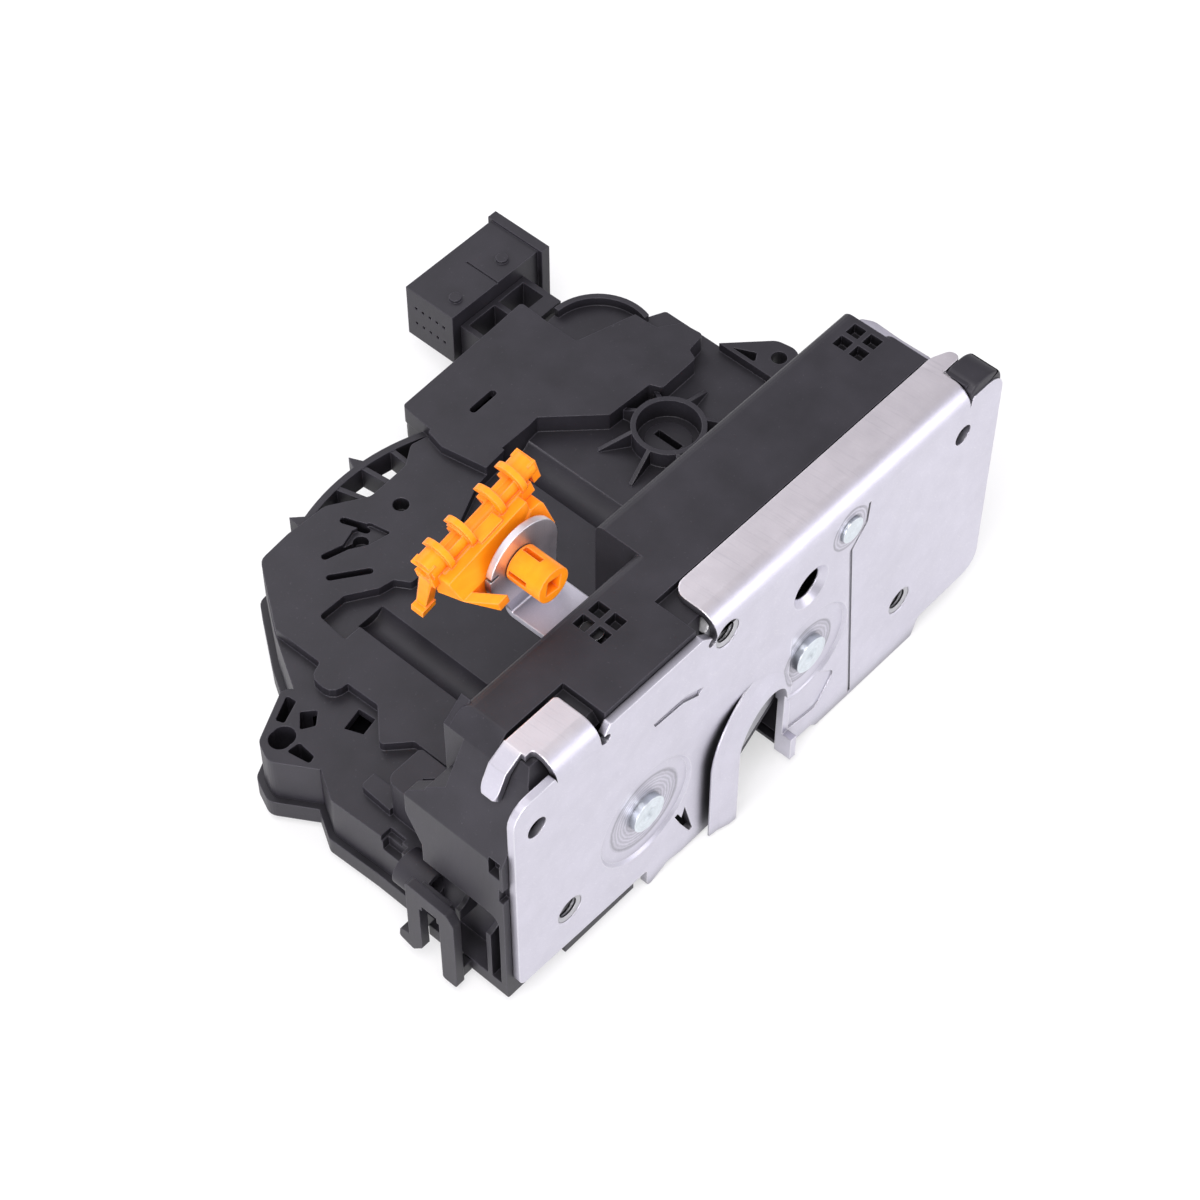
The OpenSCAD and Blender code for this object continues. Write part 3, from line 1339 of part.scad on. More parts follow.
latch_plate();
latch_housing();
frame_plate();
fixing_nuts();
catch_rivet();
pawl_rivet();
plate_rivet();
catch();
catch_lining();
pawl();
catch_spring();
pawl_spring();
mouth_buffer();
actuator_case();
bottom_cover();
connector_hood();
contact_pins();
lock_motor();
motor_worm();
worm_wheel();
wheel_axle();
lock_lever();
lock_lever_axle();
lever_buffers();
circuit_board();
catch_switch();
lock_switch();
key_coupler();
release_lever();
release_lever_pin();
release_lever_spring();
rod_clip();
inside_lever();
inside_lever_axle();
cable_retainer();
cover_screws();
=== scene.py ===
"""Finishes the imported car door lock: materials, small turned and moulded pieces, floor, light and camera."""
import json
import math

import bmesh
import bpy
import numpy as np
from bpy.props import FloatProperty, FloatVectorProperty, PointerProperty
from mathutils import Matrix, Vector


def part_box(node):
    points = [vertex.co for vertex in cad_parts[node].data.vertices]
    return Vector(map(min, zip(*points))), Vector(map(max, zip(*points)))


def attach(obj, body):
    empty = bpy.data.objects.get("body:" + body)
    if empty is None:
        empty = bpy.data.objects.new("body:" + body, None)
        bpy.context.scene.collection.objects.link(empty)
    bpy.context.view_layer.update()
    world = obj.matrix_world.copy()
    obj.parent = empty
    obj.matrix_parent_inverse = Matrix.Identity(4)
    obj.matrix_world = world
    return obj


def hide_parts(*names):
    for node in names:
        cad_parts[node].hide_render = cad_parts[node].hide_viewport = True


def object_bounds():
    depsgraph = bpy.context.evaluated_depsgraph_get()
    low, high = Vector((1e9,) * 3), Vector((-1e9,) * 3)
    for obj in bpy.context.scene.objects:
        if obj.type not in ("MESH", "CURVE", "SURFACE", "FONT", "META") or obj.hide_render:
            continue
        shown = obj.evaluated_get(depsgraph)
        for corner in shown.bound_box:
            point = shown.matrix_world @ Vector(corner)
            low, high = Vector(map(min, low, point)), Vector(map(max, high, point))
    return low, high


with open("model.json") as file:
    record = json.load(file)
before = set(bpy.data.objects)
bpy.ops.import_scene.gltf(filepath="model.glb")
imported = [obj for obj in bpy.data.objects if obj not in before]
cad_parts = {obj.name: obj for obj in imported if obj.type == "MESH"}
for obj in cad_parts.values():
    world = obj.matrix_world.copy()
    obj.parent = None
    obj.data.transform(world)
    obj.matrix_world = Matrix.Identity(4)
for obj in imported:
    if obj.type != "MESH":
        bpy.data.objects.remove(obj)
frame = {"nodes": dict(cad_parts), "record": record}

bl_info = {
    "name": "Car door lock",
    "version": (1, 0, 0),
    "blender": (4, 5, 0),
    "location": "View3D > Sidebar > Door lock",
    "description": "Finishes the pieces of a car door lock",
    "category": "Object",
}

CAD_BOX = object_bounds()
NODES = frame["nodes"]
RECORD = frame["record"]
BODY_OF = {node: body for body, nodes in RECORD["behaviour"]["bodies"].items() for node in nodes}
SLOT_OF = {part["node"]: part["material_slot"] for part in RECORD["subparts"]}
MM = 0.001
TURN = 2 * math.pi


# Sizes and colours that a user would change

def colour(name, description, value):
    return FloatVectorProperty(name=name, description=description, default=value, subtype="COLOR", size=3,
                               min=0, max=1)


def length(name, description, value):
    return FloatProperty(name=name, description=description, default=value, unit="LENGTH", subtype="DISTANCE",
                         precision=5, min=0)


def share(name, description, value):
    return FloatProperty(name=name, description=description, default=value, subtype="FACTOR", min=0, max=1)


class LockMetal(bpy.types.PropertyGroup):
    """Colours and finish of the metal pieces"""

    plate: colour("Face plate", "Zinc plated sheet of the face plate", (0.66, 0.645, 0.72))
    bare: colour("Inner sheet", "Plain steel of the inner plate, levers and nuts", (0.56, 0.56, 0.58))
    rivet: colour("Rivets", "Bright zinc of the rivet heads", (0.74, 0.80, 0.84))
    wire: colour("Springs", "Drawn spring wire", (0.42, 0.42, 0.44))
    brass: colour("Contacts", "Tinned brass of the contact pins", (0.80, 0.66, 0.40))
    plate_roughness: share("Plate roughness", "Roughness of the plated sheet", 0.34)


class LockPlastic(bpy.types.PropertyGroup):
    """Colours and finish of the moulded pieces"""

    black: colour("Black", "Body colour of the black mouldings", (0.0142, 0.0130, 0.0174))
    # This tone colours the flow clouds, and made lighter, the painted sheen on the edges
    wear_and_sheen: colour("Rubbed black", "Black mouldings where they are rubbed", (0.040, 0.037, 0.048))
    orange: colour("Rod clip", "Colour of the rod clip", (1.0, 0.305, 0.006))
    natural: colour("Gears", "Natural colour of the gear wheels", (0.80, 0.79, 0.72))
    board: colour("Board", "Lacquer of the circuit board", (0.02, 0.16, 0.07))
    roughness: share("Black roughness", "Roughness of the black mouldings", 0.42)
    grain: length("Grain", "Width of one grain of the moulded surface", 0.00028)


class LockSmall(bpy.types.PropertyGroup):
    """Sizes of the small pieces"""

    thread_pitch: length("Thread pitch", "Pitch of the fixing nuts' thread", 0.001)
    thread_depth: length("Thread depth", "Depth of the fixing nuts' thread", 0.00045)
    screw_head: length("Screw head", "Radius of the cover screws' heads", 0.0029)
    pin_taper: length("Pin point", "Length of the tapered point of a contact pin", 0.0016)
    fold_radius: length("Fold", "Outer radius of the face plate's long fold", 0.005)
    sheet: length("Sheet", "Thickness of the face plate", 0.0018)
    tip_reach: length("Flange tip", "Place of the long flange's right end along the plate", 0.0832)


class LockStage(bpy.types.PropertyGroup):
    """Camera, floor and light"""

    camera_at: FloatVectorProperty(name="Camera", description="Place of the camera", unit="LENGTH",
                                   subtype="TRANSLATION", size=3, precision=5,
                                   default=(-0.28207, -0.22107, 0.47745))
    azimuth: FloatProperty(name="Azimuth", description="Side from which the camera looks, in degrees",
                           default=-47.87)
    elevation: FloatProperty(name="Elevation", description="Height of the camera's look, in degrees",
                             default=52.53)
    lens: FloatProperty(name="Lens", description="Focal length on a 36 mm sensor", default=91.01)
    floor: colour("Floor", "Colour of the floor", (0.93, 0.93, 0.935))
    key: FloatProperty(name="Key lamp", description="Power of the main lamp in watts", default=7.0, min=0)
    sky: FloatProperty(name="Sky", description="Strength of the surrounding light", default=0.54, min=0)


# Shader expressions

class Wire:
    """One output of a shader node. Sums, differences, products and quotients of wires and numbers add
    their Math nodes."""

    def __init__(self, paint, socket):
        self.paint = paint
        self.socket = socket

    def calc(self, operation, *values, clamp=False):
        settings = {"operation": operation, "use_clamp": clamp}
        return self.paint.node("ShaderNodeMath", settings, dict(enumerate(values)))[0]

    def __add__(self, other):
        return self.calc("ADD", self, other)

    def __radd__(self, other):
        return self.calc("ADD", other, self)

    def __sub__(self, other):
        return self.calc("SUBTRACT", self, other)

    def __rsub__(self, other):
        return self.calc("SUBTRACT", other, self)

    def __mul__(self, other):
        return self.calc("MULTIPLY", self, other)

    def __rmul__(self, other):
        return self.calc("MULTIPLY", other, self)

    def __truediv__(self, other):
        return self.calc("DIVIDE", self, other)

    def __rtruediv__(self, other):
        return self.calc("DIVIDE", other, self)

    def sine(self):
        return self.calc("SINE", self)

    def root(self):
        return self.calc("SQRT", self)

    def held(self):
        """The value, kept between 0 and 1."""
        return self.calc("ADD", self, 0.0, clamp=True)

    def above(self, low, high):
        """0 up to low, rising to 1 at high."""
        return ((self - low) / (high - low)).held()


class Paint:
    """A material under construction: one Principled shader and what feeds it."""

    def __init__(self, name, **fixed):
        self.material = bpy.data.materials.new(name)
        self.material.use_nodes = True
        self.tree = self.material.node_tree
        self.tree.nodes.clear()
        self.shader = self.tree.nodes.new("ShaderNodeBsdfPrincipled")
        self.output = self.tree.nodes.new("ShaderNodeOutputMaterial")
        self.tree.links.new(self.shader.outputs[0], self.output.inputs[0])
        for socket, value in fixed.items():
            self.shader.inputs[socket.replace("_", " ")].default_value = value
        self.place = self.node("ShaderNodeTexCoord")[3]

    def node(self, kind, settings=None, sockets=None):
        """Adds a node of that type, sets its settings, then the values or links of its sockets, and
        returns its outputs."""
        made = self.tree.nodes.new(kind)
        for name, value in (settings or {}).items():
            setattr(made, name, value)
        for name, value in (sockets or {}).items():
            if isinstance(value, Wire):
                self.tree.links.new(value.socket, made.inputs[name])
            else:
                made.inputs[name].default_value = value
        return [Wire(self, socket) for socket in made.outputs]

    def noise(self, size, detail=2.0, at=None, rough=0.5):
        """Cloud pattern from 0 to 1 whose lumps are about size metres wide."""
        sockets = {"Vector": at or self.place, "Scale": 1 / size, "Detail": detail, "Roughness": rough}
        return self.node("ShaderNodeTexNoise", None, sockets)[0]

    def streaks(self, widths, turn, detail=2.0, rough=0.5):
        """Noise from 0 to 1 whose lumps have three widths in metres, along axes turned by three angles."""
        return self.noise(1.0, detail, self.stretched(widths, turn), rough)

    def stretched(self, scale, turn=(0, 0, 0), at=(0, 0, 0)):
        """Object coordinates moved to a centre, turned and stretched."""
        sockets = {"Vector": self.place, "Location": at, "Rotation": turn, "Scale": scale}
        return self.node("ShaderNodeMapping", {"vector_type": "TEXTURE"}, sockets)[0]

    def apart(self, at=None):
        """X, Y and Z of a place as three wires."""
        return self.node("ShaderNodeSeparateXYZ", None, {"Vector": at or self.place})

    def blend(self, mask, low, high):
        """Colour low where mask is 0 and high where it is 1."""
        values = {0: mask}
        for index, value in ((6, low), (7, high)):
            values[index] = value if isinstance(value, Wire) else (*value, 1)
        return self.node("ShaderNodeMix", {"data_type": "RGBA"}, values)[2]

    def rounded(self, edge, samples):
        """Normals as if edges were rounded to the radius edge."""
        return self.node("ShaderNodeBevel", {"samples": samples}, {"Radius": edge})[0]

    def relief(self, height, depth, edge):
        """Bump of that depth in metres over edges that are rounded to the radius edge."""
        sockets = {"Height": height, "Distance": depth, "Strength": 1.0, "Normal": self.rounded(edge, 6)}
        self.feed("Normal", self.node("ShaderNodeBump", None, sockets)[0])

    def edges(self, edge):
        """1 along edges and corners within the radius edge, and 0 on flat faces: how far the rounded
        normal leans from the true one."""
        true = self.node("ShaderNodeNewGeometry")[1]
        sockets = {0: self.rounded(edge, 4), 1: true}
        dot = self.node("ShaderNodeVectorMath", {"operation": "DOT_PRODUCT"}, sockets)[1]
        return (1 - dot).above(0.01, 0.16)

    def hollows(self, reach):
        """1 deep in holes and inner corners that are narrower than reach, and 0 on open faces: where shade is
        painted.
        """
        open_sky = self.node("ShaderNodeAmbientOcclusion", {"samples": 6}, {"Distance": reach})[1]
        return (1 - open_sky).above(0.12, 0.75)

    def feed(self, socket, wire):
        self.tree.links.new(wire.socket, self.shader.inputs[socket])


def scaled(tone, factor):
    """Colour times a factor: darker below 1 and lighter above."""
    return tuple(factor * part for part in tone)


# Materials. Widths, pitches and depths are in metres

FIELD_RING_PITCH = 0.0009
RIVET_RING_PITCH = 0.0007
BOARD_TRACK_PITCH = 0.0031
BOARD_TRACK_LENGTH = 0.017
# Lighter zinc of the scratches, and of the painted highlight on the edges
SCRATCH_AND_HIGHLIGHT_ZINC = (0.93, 0.92, 0.94)
# Painted highlight on the edges of rivets and axles
PAINTED_RIVET_HIGHLIGHT = (0.95, 0.96, 0.97)
GREY_DUST = (0.15, 0.145, 0.165)
# Darker orange of the flow lines and of the painted shade in hollows
ORANGE_FLOW_AND_SHADE = (0.90, 0.17, 0.003)
RUBBER = (0.012, 0.012, 0.012)
RUBBER_BLOOM = (0.035, 0.035, 0.034)


def sheet_metal(name, tone, roughness, edge=0.0004, scratch=1.0, fields=(), roof=None, deep=0.006):
    """Plated sheet: cloudy zinc, fine scratches in two crossing directions, rolled edges made brighter by a
    painted highlight, and painted shade that darkens hollows narrower than deep. It has tool_rings in
    fields, and above the level roof a lit_and_scratched_roof."""
    paint = Paint(name, Metallic=1.0)
    cloud = paint.noise(size=0.012, detail=3.0)
    stain = paint.noise(size=0.004, detail=4.0).above(0.35, 0.75)
    fine = paint.streaks(widths=(0.02, 0.0004, 0.0004), turn=(0.3, 0.5, 0.9), detail=3.0, rough=0.6)
    cross = paint.streaks(widths=(0.0005, 0.0005, 0.016), turn=(0.2, -0.6, 0.1), rough=0.6)
    lines = (fine.above(0.56, 0.72) + cross.above(0.58, 0.74)) * scratch
    grit = paint.noise(size=0.0003)
    # Edge mask: a painted highlight brightens the colour there, and the roughness drops
    wear_and_sheen = paint.edges(edge)
    tint = paint.blend(cloud.above(0.3, 0.7), scaled(tone, 0.93), tone)
    tint = paint.blend(stain * 0.25, tint, scaled(tone, 0.84))
    height = grit * 0.5 + fine * 0.35 * scratch + cross * 0.35 * scratch
    for field in fields:
        tint, height = tool_rings(paint, tone, tint, height, field)
    if roof is not None:
        tint = lit_and_scratched_roof(paint, tone, tint, roof)
    # Painted highlight on the edges, together with the lighter scratches
    tint = paint.blend((wear_and_sheen * 0.55 + lines * 0.12).held(), tint, SCRATCH_AND_HIGHLIGHT_ZINC)
    # Painted shade: hollows darkened nearly to black
    paint.feed("Base Color", paint.blend(paint.hollows(deep) * 0.85, tint, scaled(tone, 0.08)))
    paint.feed("Roughness", roughness + 0.10 * cloud + 0.07 * grit - 0.08 * wear_and_sheen + 0.05 * stain)
    paint.relief(height, depth=0.000014, edge=edge)
    return paint.material


def tool_rings(paint, tone, tint, height, field):
    """Adds the rings that the pressing tool left in a round field, which has an axis at x and z and a reach:
    waves of the distance from the axis inside the reach, and a sunken rim at the reach with painted shade."""
    x, z, reach = field
    across, _, up = paint.apart()
    radius = ((across - x) * (across - x) + (up - z) * (up - z)).root()
    inside = 1 - radius.above(reach * 0.96, reach * 1.02)
    rim = inside * radius.above(reach * 0.86, reach * 0.97)
    smear = paint.noise(size=0.0016, detail=3.0)
    rings = (radius * (TURN / FIELD_RING_PITCH) + smear * 5.0).sine()
    dull = inside * (rings * 0.30 + 0.10 + smear * 0.35)
    tint = paint.blend(dull.held(), tint, scaled(tone, 0.55))
    # Painted shade along the rim of the pressed field
    tint = paint.blend(rim * 0.6, tint, scaled(tone, 0.45))
    return tint, height + inside * rings * 2.5 - rim * 4.0


def lit_and_scratched_roof(paint, tone, tint, roof):
    """Paints a warmer, brighter light on the sheet above the level roof, with darker drawing lines across it.
    """
    top = paint.apart()[2].above(roof - 0.0006, roof)
    drawn = paint.streaks(widths=(0.0005, 0.011, 0.01), turn=(0.0, 0.0, 0.06), detail=3.0, rough=0.6)
    # Painted light: warm light on the faces above the roof
    painted_warm_light = (tone[0] * 1.24, tone[1] * 1.19, tone[2] * 1.10)
    tint = paint.blend(top * (0.55 + drawn * 0.4), tint, painted_warm_light)
    return paint.blend(top * drawn.above(0.54, 0.68) * 0.25, tint, scaled(tone, 0.78))


def turned_metal(name, tone, centre, roughness=0.28, axis="y", edge=0.00025):
    """Rivet metal with rings left by the spinning tool round its axis, painted shade in its hollows and a
    painted highlight along its edges.
    """
    paint = Paint(name, Metallic=1.0)
    parts = paint.apart(paint.stretched((1, 1, 1), (0, 0, 0), centre))
    across = [part for part, letter in zip(parts, "xyz") if letter != axis]
    radius = (across[0] * across[0] + across[1] * across[1]).root()
    smear = paint.noise(size=0.0014, detail=3.0)
    rings = (radius * (TURN / RIVET_RING_PITCH) + smear * 2.0).sine()
    tint = paint.blend((smear.above(0.3, 0.75) + rings * 0.15).held(), scaled(tone, 0.84), tone)
    # Painted shade in hollows
    tint = paint.blend(paint.hollows(0.0025) * 0.7, tint, scaled(tone, 0.2))
    # Painted highlight along the edges
    paint.feed("Base Color", paint.blend(paint.edges(edge) * 0.5, tint, PAINTED_RIVET_HIGHLIGHT))
    paint.feed("Roughness", roughness + 0.1 * smear)
    paint.relief(rings * 0.2 + smear * 0.5, depth=0.00001, edge=edge)
    return paint.material


def black_moulding(name, tone, rubbed_and_sheen, roughness, grain, edge=0.00035):
    """Black moulded plastic: spark grain, faint flow clouds, specks of dust, painted shade in hollows and a
    painted sheen that makes the edges lighter."""
    paint = Paint(name, Metallic=0.0, Specular_IOR_Level=0.42)
    spark = paint.noise(size=grain)
    cloud = paint.noise(size=0.009, detail=3.0)
    drag = paint.streaks(widths=(0.02, 0.0009, 0.004), turn=(0.1, 0.2, 0.5))
    dust = paint.noise(size=0.0007, detail=3.0).above(0.66, 0.80)
    wear_and_sheen = paint.edges(edge)
    tint = paint.blend(cloud.above(0.3, 0.75) * 0.35, tone, rubbed_and_sheen)
    tint = paint.blend(dust * 0.2, tint, GREY_DUST)
    # Painted shade in hollows
    tint = paint.blend(paint.hollows(0.004) * 0.85, tint, scaled(tone, 0.25))
    # Painted sheen on the edges, in the rubbed tone made lighter
    paint.feed("Base Color", paint.blend(wear_and_sheen * 0.8, tint, scaled(rubbed_and_sheen, 1.5)))
    paint.feed("Roughness", roughness + 0.12 * cloud + 0.06 * spark - 0.10 * wear_and_sheen - 0.05 * drag)
    paint.relief(spark * 0.7 + drag * 0.3, depth=0.000022, edge=edge)
    return paint.material


def bright_moulding(name, tone, flow_and_shade, roughness, coat=0.0, edge=0.0004):
    """Coloured moulded plastic: even body colour, darker flow lines, painted shade in hollows, a fine satin
    grain and a painted highlight that makes the edges lighter."""
    paint = Paint(name, Metallic=0.0, Coat_Roughness=0.25, Specular_IOR_Level=0.22)
    flow = paint.streaks(widths=(0.012, 0.002, 0.003), turn=(0.0, 0.24, 0.0))
    spark = paint.noise(size=0.0003)
    wear_and_sheen = paint.edges(edge)
    lighter = tuple(part + (1 - part) * 0.25 for part in tone)
    # Darker in flow lines, and painted shade in hollows
    tint = paint.blend((flow.above(0.35, 0.8) * 0.4 + paint.hollows(0.003) * 0.8).held(), tone, flow_and_shade)
    # Painted highlight on the edges
    paint.feed("Base Color", paint.blend(wear_and_sheen * 0.35, tint, lighter))
    paint.feed("Roughness", roughness + 0.08 * spark + 0.05 * flow)
    paint.feed("Coat Weight", coat * (1 - spark * 0.3))
    paint.relief(spark, depth=0.000012, edge=edge)
    return paint.material


def lacquered_board(name, tone):
    """Green lacquer over copper runs: straight tracks show as raised, lighter bands."""
    paint = Paint(name, Metallic=0.0, Coat_Roughness=0.1)
    across, along, _ = paint.apart()
    tracks = (across * (TURN / BOARD_TRACK_PITCH)).sine().above(0.55, 0.7)
    stretches = (along * (TURN / BOARD_TRACK_LENGTH)).sine().above(-0.6, -0.4)
    runs = tracks * stretches
    mottle = paint.noise(size=0.002)
    paint.feed("Base Color", paint.blend(runs * 0.7, scaled(tone, 0.8), scaled(tone, 1.8)))
    paint.feed("Roughness", 0.25 + 0.1 * mottle)
    paint.feed("Coat Weight", 0.4 + 0.2 * mottle)
    paint.relief(runs, depth=0.00003, edge=0.0001)
    return paint.material


def soft_rubber(name):
    """Dull black rubber with a blooming surface."""
    paint = Paint(name, Metallic=0.0, Specular_IOR_Level=0.3)
    bloom = paint.noise(size=0.003, detail=4.0)
    speck = paint.noise(size=0.0004)
    paint.feed("Base Color", paint.blend(bloom.above(0.3, 0.8), RUBBER, RUBBER_BLOOM))
    paint.feed("Roughness", 0.72 + 0.12 * speck)
    paint.relief(speck, depth=0.00002, edge=0.0002)
    return paint.material


def cover_node(node, material):
    """Gives one CAD node its material, in the slots of its object."""
    for slot in NODES[node].material_slots:
        slot.link = "OBJECT"
        slot.material = material


# Surfaces

MERGE_REACH = 1e-7  # points closer than this many metres become one
SCREW_LOBES = 6
SCREW_LOBE_DEPTH = 0.16


def put_mesh(name, points, faces, node, material, sharp=35):
    """Makes an object at the origin, on the body of a CAD node, from an array of points in metres and an
    array of faces with three or four corners. Points that coincide become one, which closes the poles. The
    faces are turned outwards by the sign of their volume, and corners sharper than sharp degrees stay
    sharp."""
    body, slot = BODY_OF[node], SLOT_OF[node]
    places, faces = points.reshape(-1, 3), faces.reshape(-1, faces.shape[-1])
    corners = places[faces] - places[0]
    first = corners[:, 0]
    volume = sum(np.einsum("ij,ij->", first, np.cross(corners[:, k], corners[:, k + 1]))
                 for k in range(1, faces.shape[1] - 1))
    mesh = bpy.data.meshes.new(name)
    mesh.from_pydata(places, [], faces if volume > 0 else faces[:, ::-1])
    shell = bmesh.new()
    shell.from_mesh(mesh)
    bmesh.ops.remove_doubles(shell, verts=shell.verts, dist=MERGE_REACH)
    shell.to_mesh(mesh)
    shell.free()
    mesh.polygons.foreach_set("use_smooth", np.ones(len(mesh.polygons), bool))
    mesh.set_sharp_from_angle(angle=math.radians(sharp))
    piece = bpy.data.objects.new(name, mesh)
    bpy.context.scene.collection.objects.link(piece)
    mesh.materials.append(material)
    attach(piece, body)
    return piece


def node_points(node):
    """Points of a CAD node's mesh as rows of three."""
    vertices = NODES[node].data.vertices
    places = np.empty(len(vertices) * 3, np.float32)
    vertices.foreach_get("co", places)
    return places.reshape(-1, 3)


def node_triangles(node):
    """Corners of a CAD node's loose triangles as rows of three places in node_points."""
    loops = NODES[node].data.loops
    corners = np.empty(len(loops), np.int32)
    loops.foreach_get("vertex_index", corners)
    return corners.reshape(-1, 3)


def ring_faces(rows, columns, close_rows):
    """Faces of a grid of rows by columns whose columns close on themselves, and whose rows do too if
    close_rows is true."""
    last = rows if close_rows else rows - 1
    row, column = np.meshgrid(np.arange(last), np.arange(columns), indexing="ij")
    here, above = row * columns, (row + 1) % rows * columns
    right = (column + 1) % columns
    return np.stack([here + column, here + right, above + right, above + column], -1)


def many(faces, grids):
    """The same faces for each of several grids of points."""
    starts = np.arange(len(grids)) * grids[0][..., 0].size
    return (faces[None] + starts[:, None, None, None]).reshape(-1, 4)


def nut_surface(apothem, core, collar, depth, pitch, levels, columns=96, rows=61):
    """A collared hexagonal nut as one closed grid along Y. Inside, the radius is core plus depth times a
    triangle wave of height over pitch less the angle over a full turn, which is a single thread. Outside,
    it is apothem over the cosine of the angle within a sixth of a turn. The levels are the collar's
    front, the thread's start, the hexagon's seat and its back."""
    front, start, seat, back = levels
    angle = np.linspace(0, TURN, columns, endpoint=False)
    rise = np.linspace(0, 1, rows)[:, None]
    phase = (rise * (back - start) / pitch - angle[None] / TURN) % 1.0
    wave = 1 - np.abs(2 * phase - 1)
    fade = np.clip(np.minimum(rise, 1 - rise) * 8, 0, 1)
    sixth = TURN / 6
    hexagon = apothem / np.cos((angle + sixth / 2) % sixth - sixth / 2)
    blunted = np.minimum(hexagon, apothem * 1.115)
    chamfered = np.full(columns, apothem * 0.96)
    round_collar = np.full(columns, collar)
    rings = [(chamfered, back), (blunted, back - 0.0004), (hexagon, back - 0.0006)]
    rings += [(hexagon, level) for level in np.linspace(back - 0.001, seat + 0.0006, 8)]
    rings += [(blunted, seat + 0.0004), (chamfered, seat), (round_collar, seat), (round_collar, front)]
    outer, outer_level = zip(*rings)
    radius = np.concatenate([core + depth * wave * fade, outer])
    level = np.concatenate([start + rise * (back - start), np.array(outer_level)[:, None]])
    points = [radius * np.cos(angle), np.broadcast_to(level, radius.shape), radius * np.sin(angle)]
    return np.stack(points, -1), ring_faces(len(radius), columns, True)


def screw_surface(head, shank, columns=72):
    """A cover screw as one grid from the middle of its recess to its point. The radius follows a profile
    of head and shank, and in the recess it is multiplied by 1 plus the lobes' depth times the cosine of
    the angle times the number of lobes."""
    recess = [(0.0, 0.0011), (0.45 * head, 0.0011), (0.47 * head, 0.0001)]
    dome = [(0.52 * head, 0.0), (0.8 * head, 0.0002), (0.96 * head, 0.0008), (head, 0.0015),
            (0.98 * head, 0.0018)]
    thread = [(shank, 0.0018), (shank, 0.004), (shank * 0.5, 0.0052), (0.0, 0.0056)]
    radius, depth = np.array(recess + dome + thread).T[..., None]
    lobed = (np.arange(len(radius)) < len(recess))[:, None]
    angle = np.linspace(0, TURN, columns, endpoint=False)
    wide = radius * (1 + lobed * SCREW_LOBE_DEPTH * np.cos(SCREW_LOBES * angle))
    points = [wide * np.cos(angle), wide * np.sin(angle), np.broadcast_to(depth, wide.shape)]
    return np.stack(points, -1), ring_faces(len(radius), columns, False)


def pin_surface(width, reach, taper):
    """A square contact pin along X: four corners carried along, which shrink to a third over the length
    of the taper."""
    along = np.array([0, 0, reach - taper, reach - taper * 0.3, reach, reach])
    size = np.array([0.0, 1.0, 1.0, 0.62, 0.35, 0.0]) * width / 2
    corner = np.array([[-1, -1], [1, -1], [1, 1], [-1, 1]])
    sides = size[:, None, None] * corner[None]
    points = np.insert(sides, 0, along[:, None], axis=2)
    return points, ring_faces(len(along), len(corner), False)


def slab_surface(outline, low, high, edge, axis):
    """A slab with rounded rims: the outline is carried from low to high along the axis. At both ends it
    shrinks towards its middle by a quarter circle of radius edge, and then closes on its middle."""
    middle = outline.mean(0)
    spread = outline - middle
    turn = np.linspace(0, TURN / 4, 5)
    shrunk = 1 - edge * (1 - np.sin(turn)) / np.hypot(*spread.T).mean()
    climb = edge * (1 - np.cos(turn))
    size = np.concatenate([[0.0], shrunk, shrunk[::-1], [0.0]])
    level = np.concatenate([[low], low + climb, (high - climb)[::-1], [high]])
    flat = middle + size[:, None, None] * spread
    return np.insert(flat, axis, level[:, None], axis=2), ring_faces(len(size), len(outline), False)


def rounded_outline(corners, steps=7):
    """Corners as rows of two places and a radius, each cut by a quadratic curve that starts and ends the
    radius away from it."""
    place, radius = corners[:, :2], corners[:, 2:]
    back, ahead = np.roll(place, 1, 0) - place, np.roll(place, -1, 0) - place
    start = (place + radius * back / np.linalg.norm(back, axis=1, keepdims=True))[:, None]
    end = (place + radius * ahead / np.linalg.norm(ahead, axis=1, keepdims=True))[:, None]
    t = np.linspace(0, 1, steps)[None, :, None]
    curve = start * (1 - t) ** 2 + 2 * place[:, None] * t * (1 - t) + end * t ** 2
    return curve.reshape(-1, 2)


# Operators

ROOF_MARGIN = 0.00005
FIELD_REACH = {"catch_rivet": 0.0082, "pawl_rivet": 0.0104, "plate_rivet": 0.0056}


class LOCK_OT_plates(bpy.types.Operator):
    """Finishes the face plate, the inner plate, the catch and the levers"""

    bl_idname = "door_lock.plates"
    bl_label = "Plates and levers"

    def execute(self, context):
        metal = context.scene.lock_metal
        tone, bare = tuple(metal.plate), tuple(metal.bare)
        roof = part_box("latch_housing")[1].z - ROOF_MARGIN
        plate = sheet_metal("plated_sheet", tone, metal.plate_roughness, fields=pressed_fields(), roof=roof)
        sheet = sheet_metal("plain_sheet", bare, roughness=0.38)
        hard = sheet_metal("hardened_sheet", scaled(bare, 0.75), roughness=0.34, scratch=0.6)
        for material, nodes in ((plate, ("latch_plate", "release_lever")),
                                (sheet, ("frame_plate", "inside_lever")), (hard, ("catch", "pawl"))):
            for node in nodes:
                cover_node(node, material)
        return {"FINISHED"}


def pressed_fields():
    """Axis and reach of each pressed round field of the face plate, from the rivets that stand in them."""
    fields = []
    for node, reach in FIELD_REACH.items():
        low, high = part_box(node)
        fields.append(((low.x + high.x) / 2, (low.z + high.z) / 2, reach))
    return fields


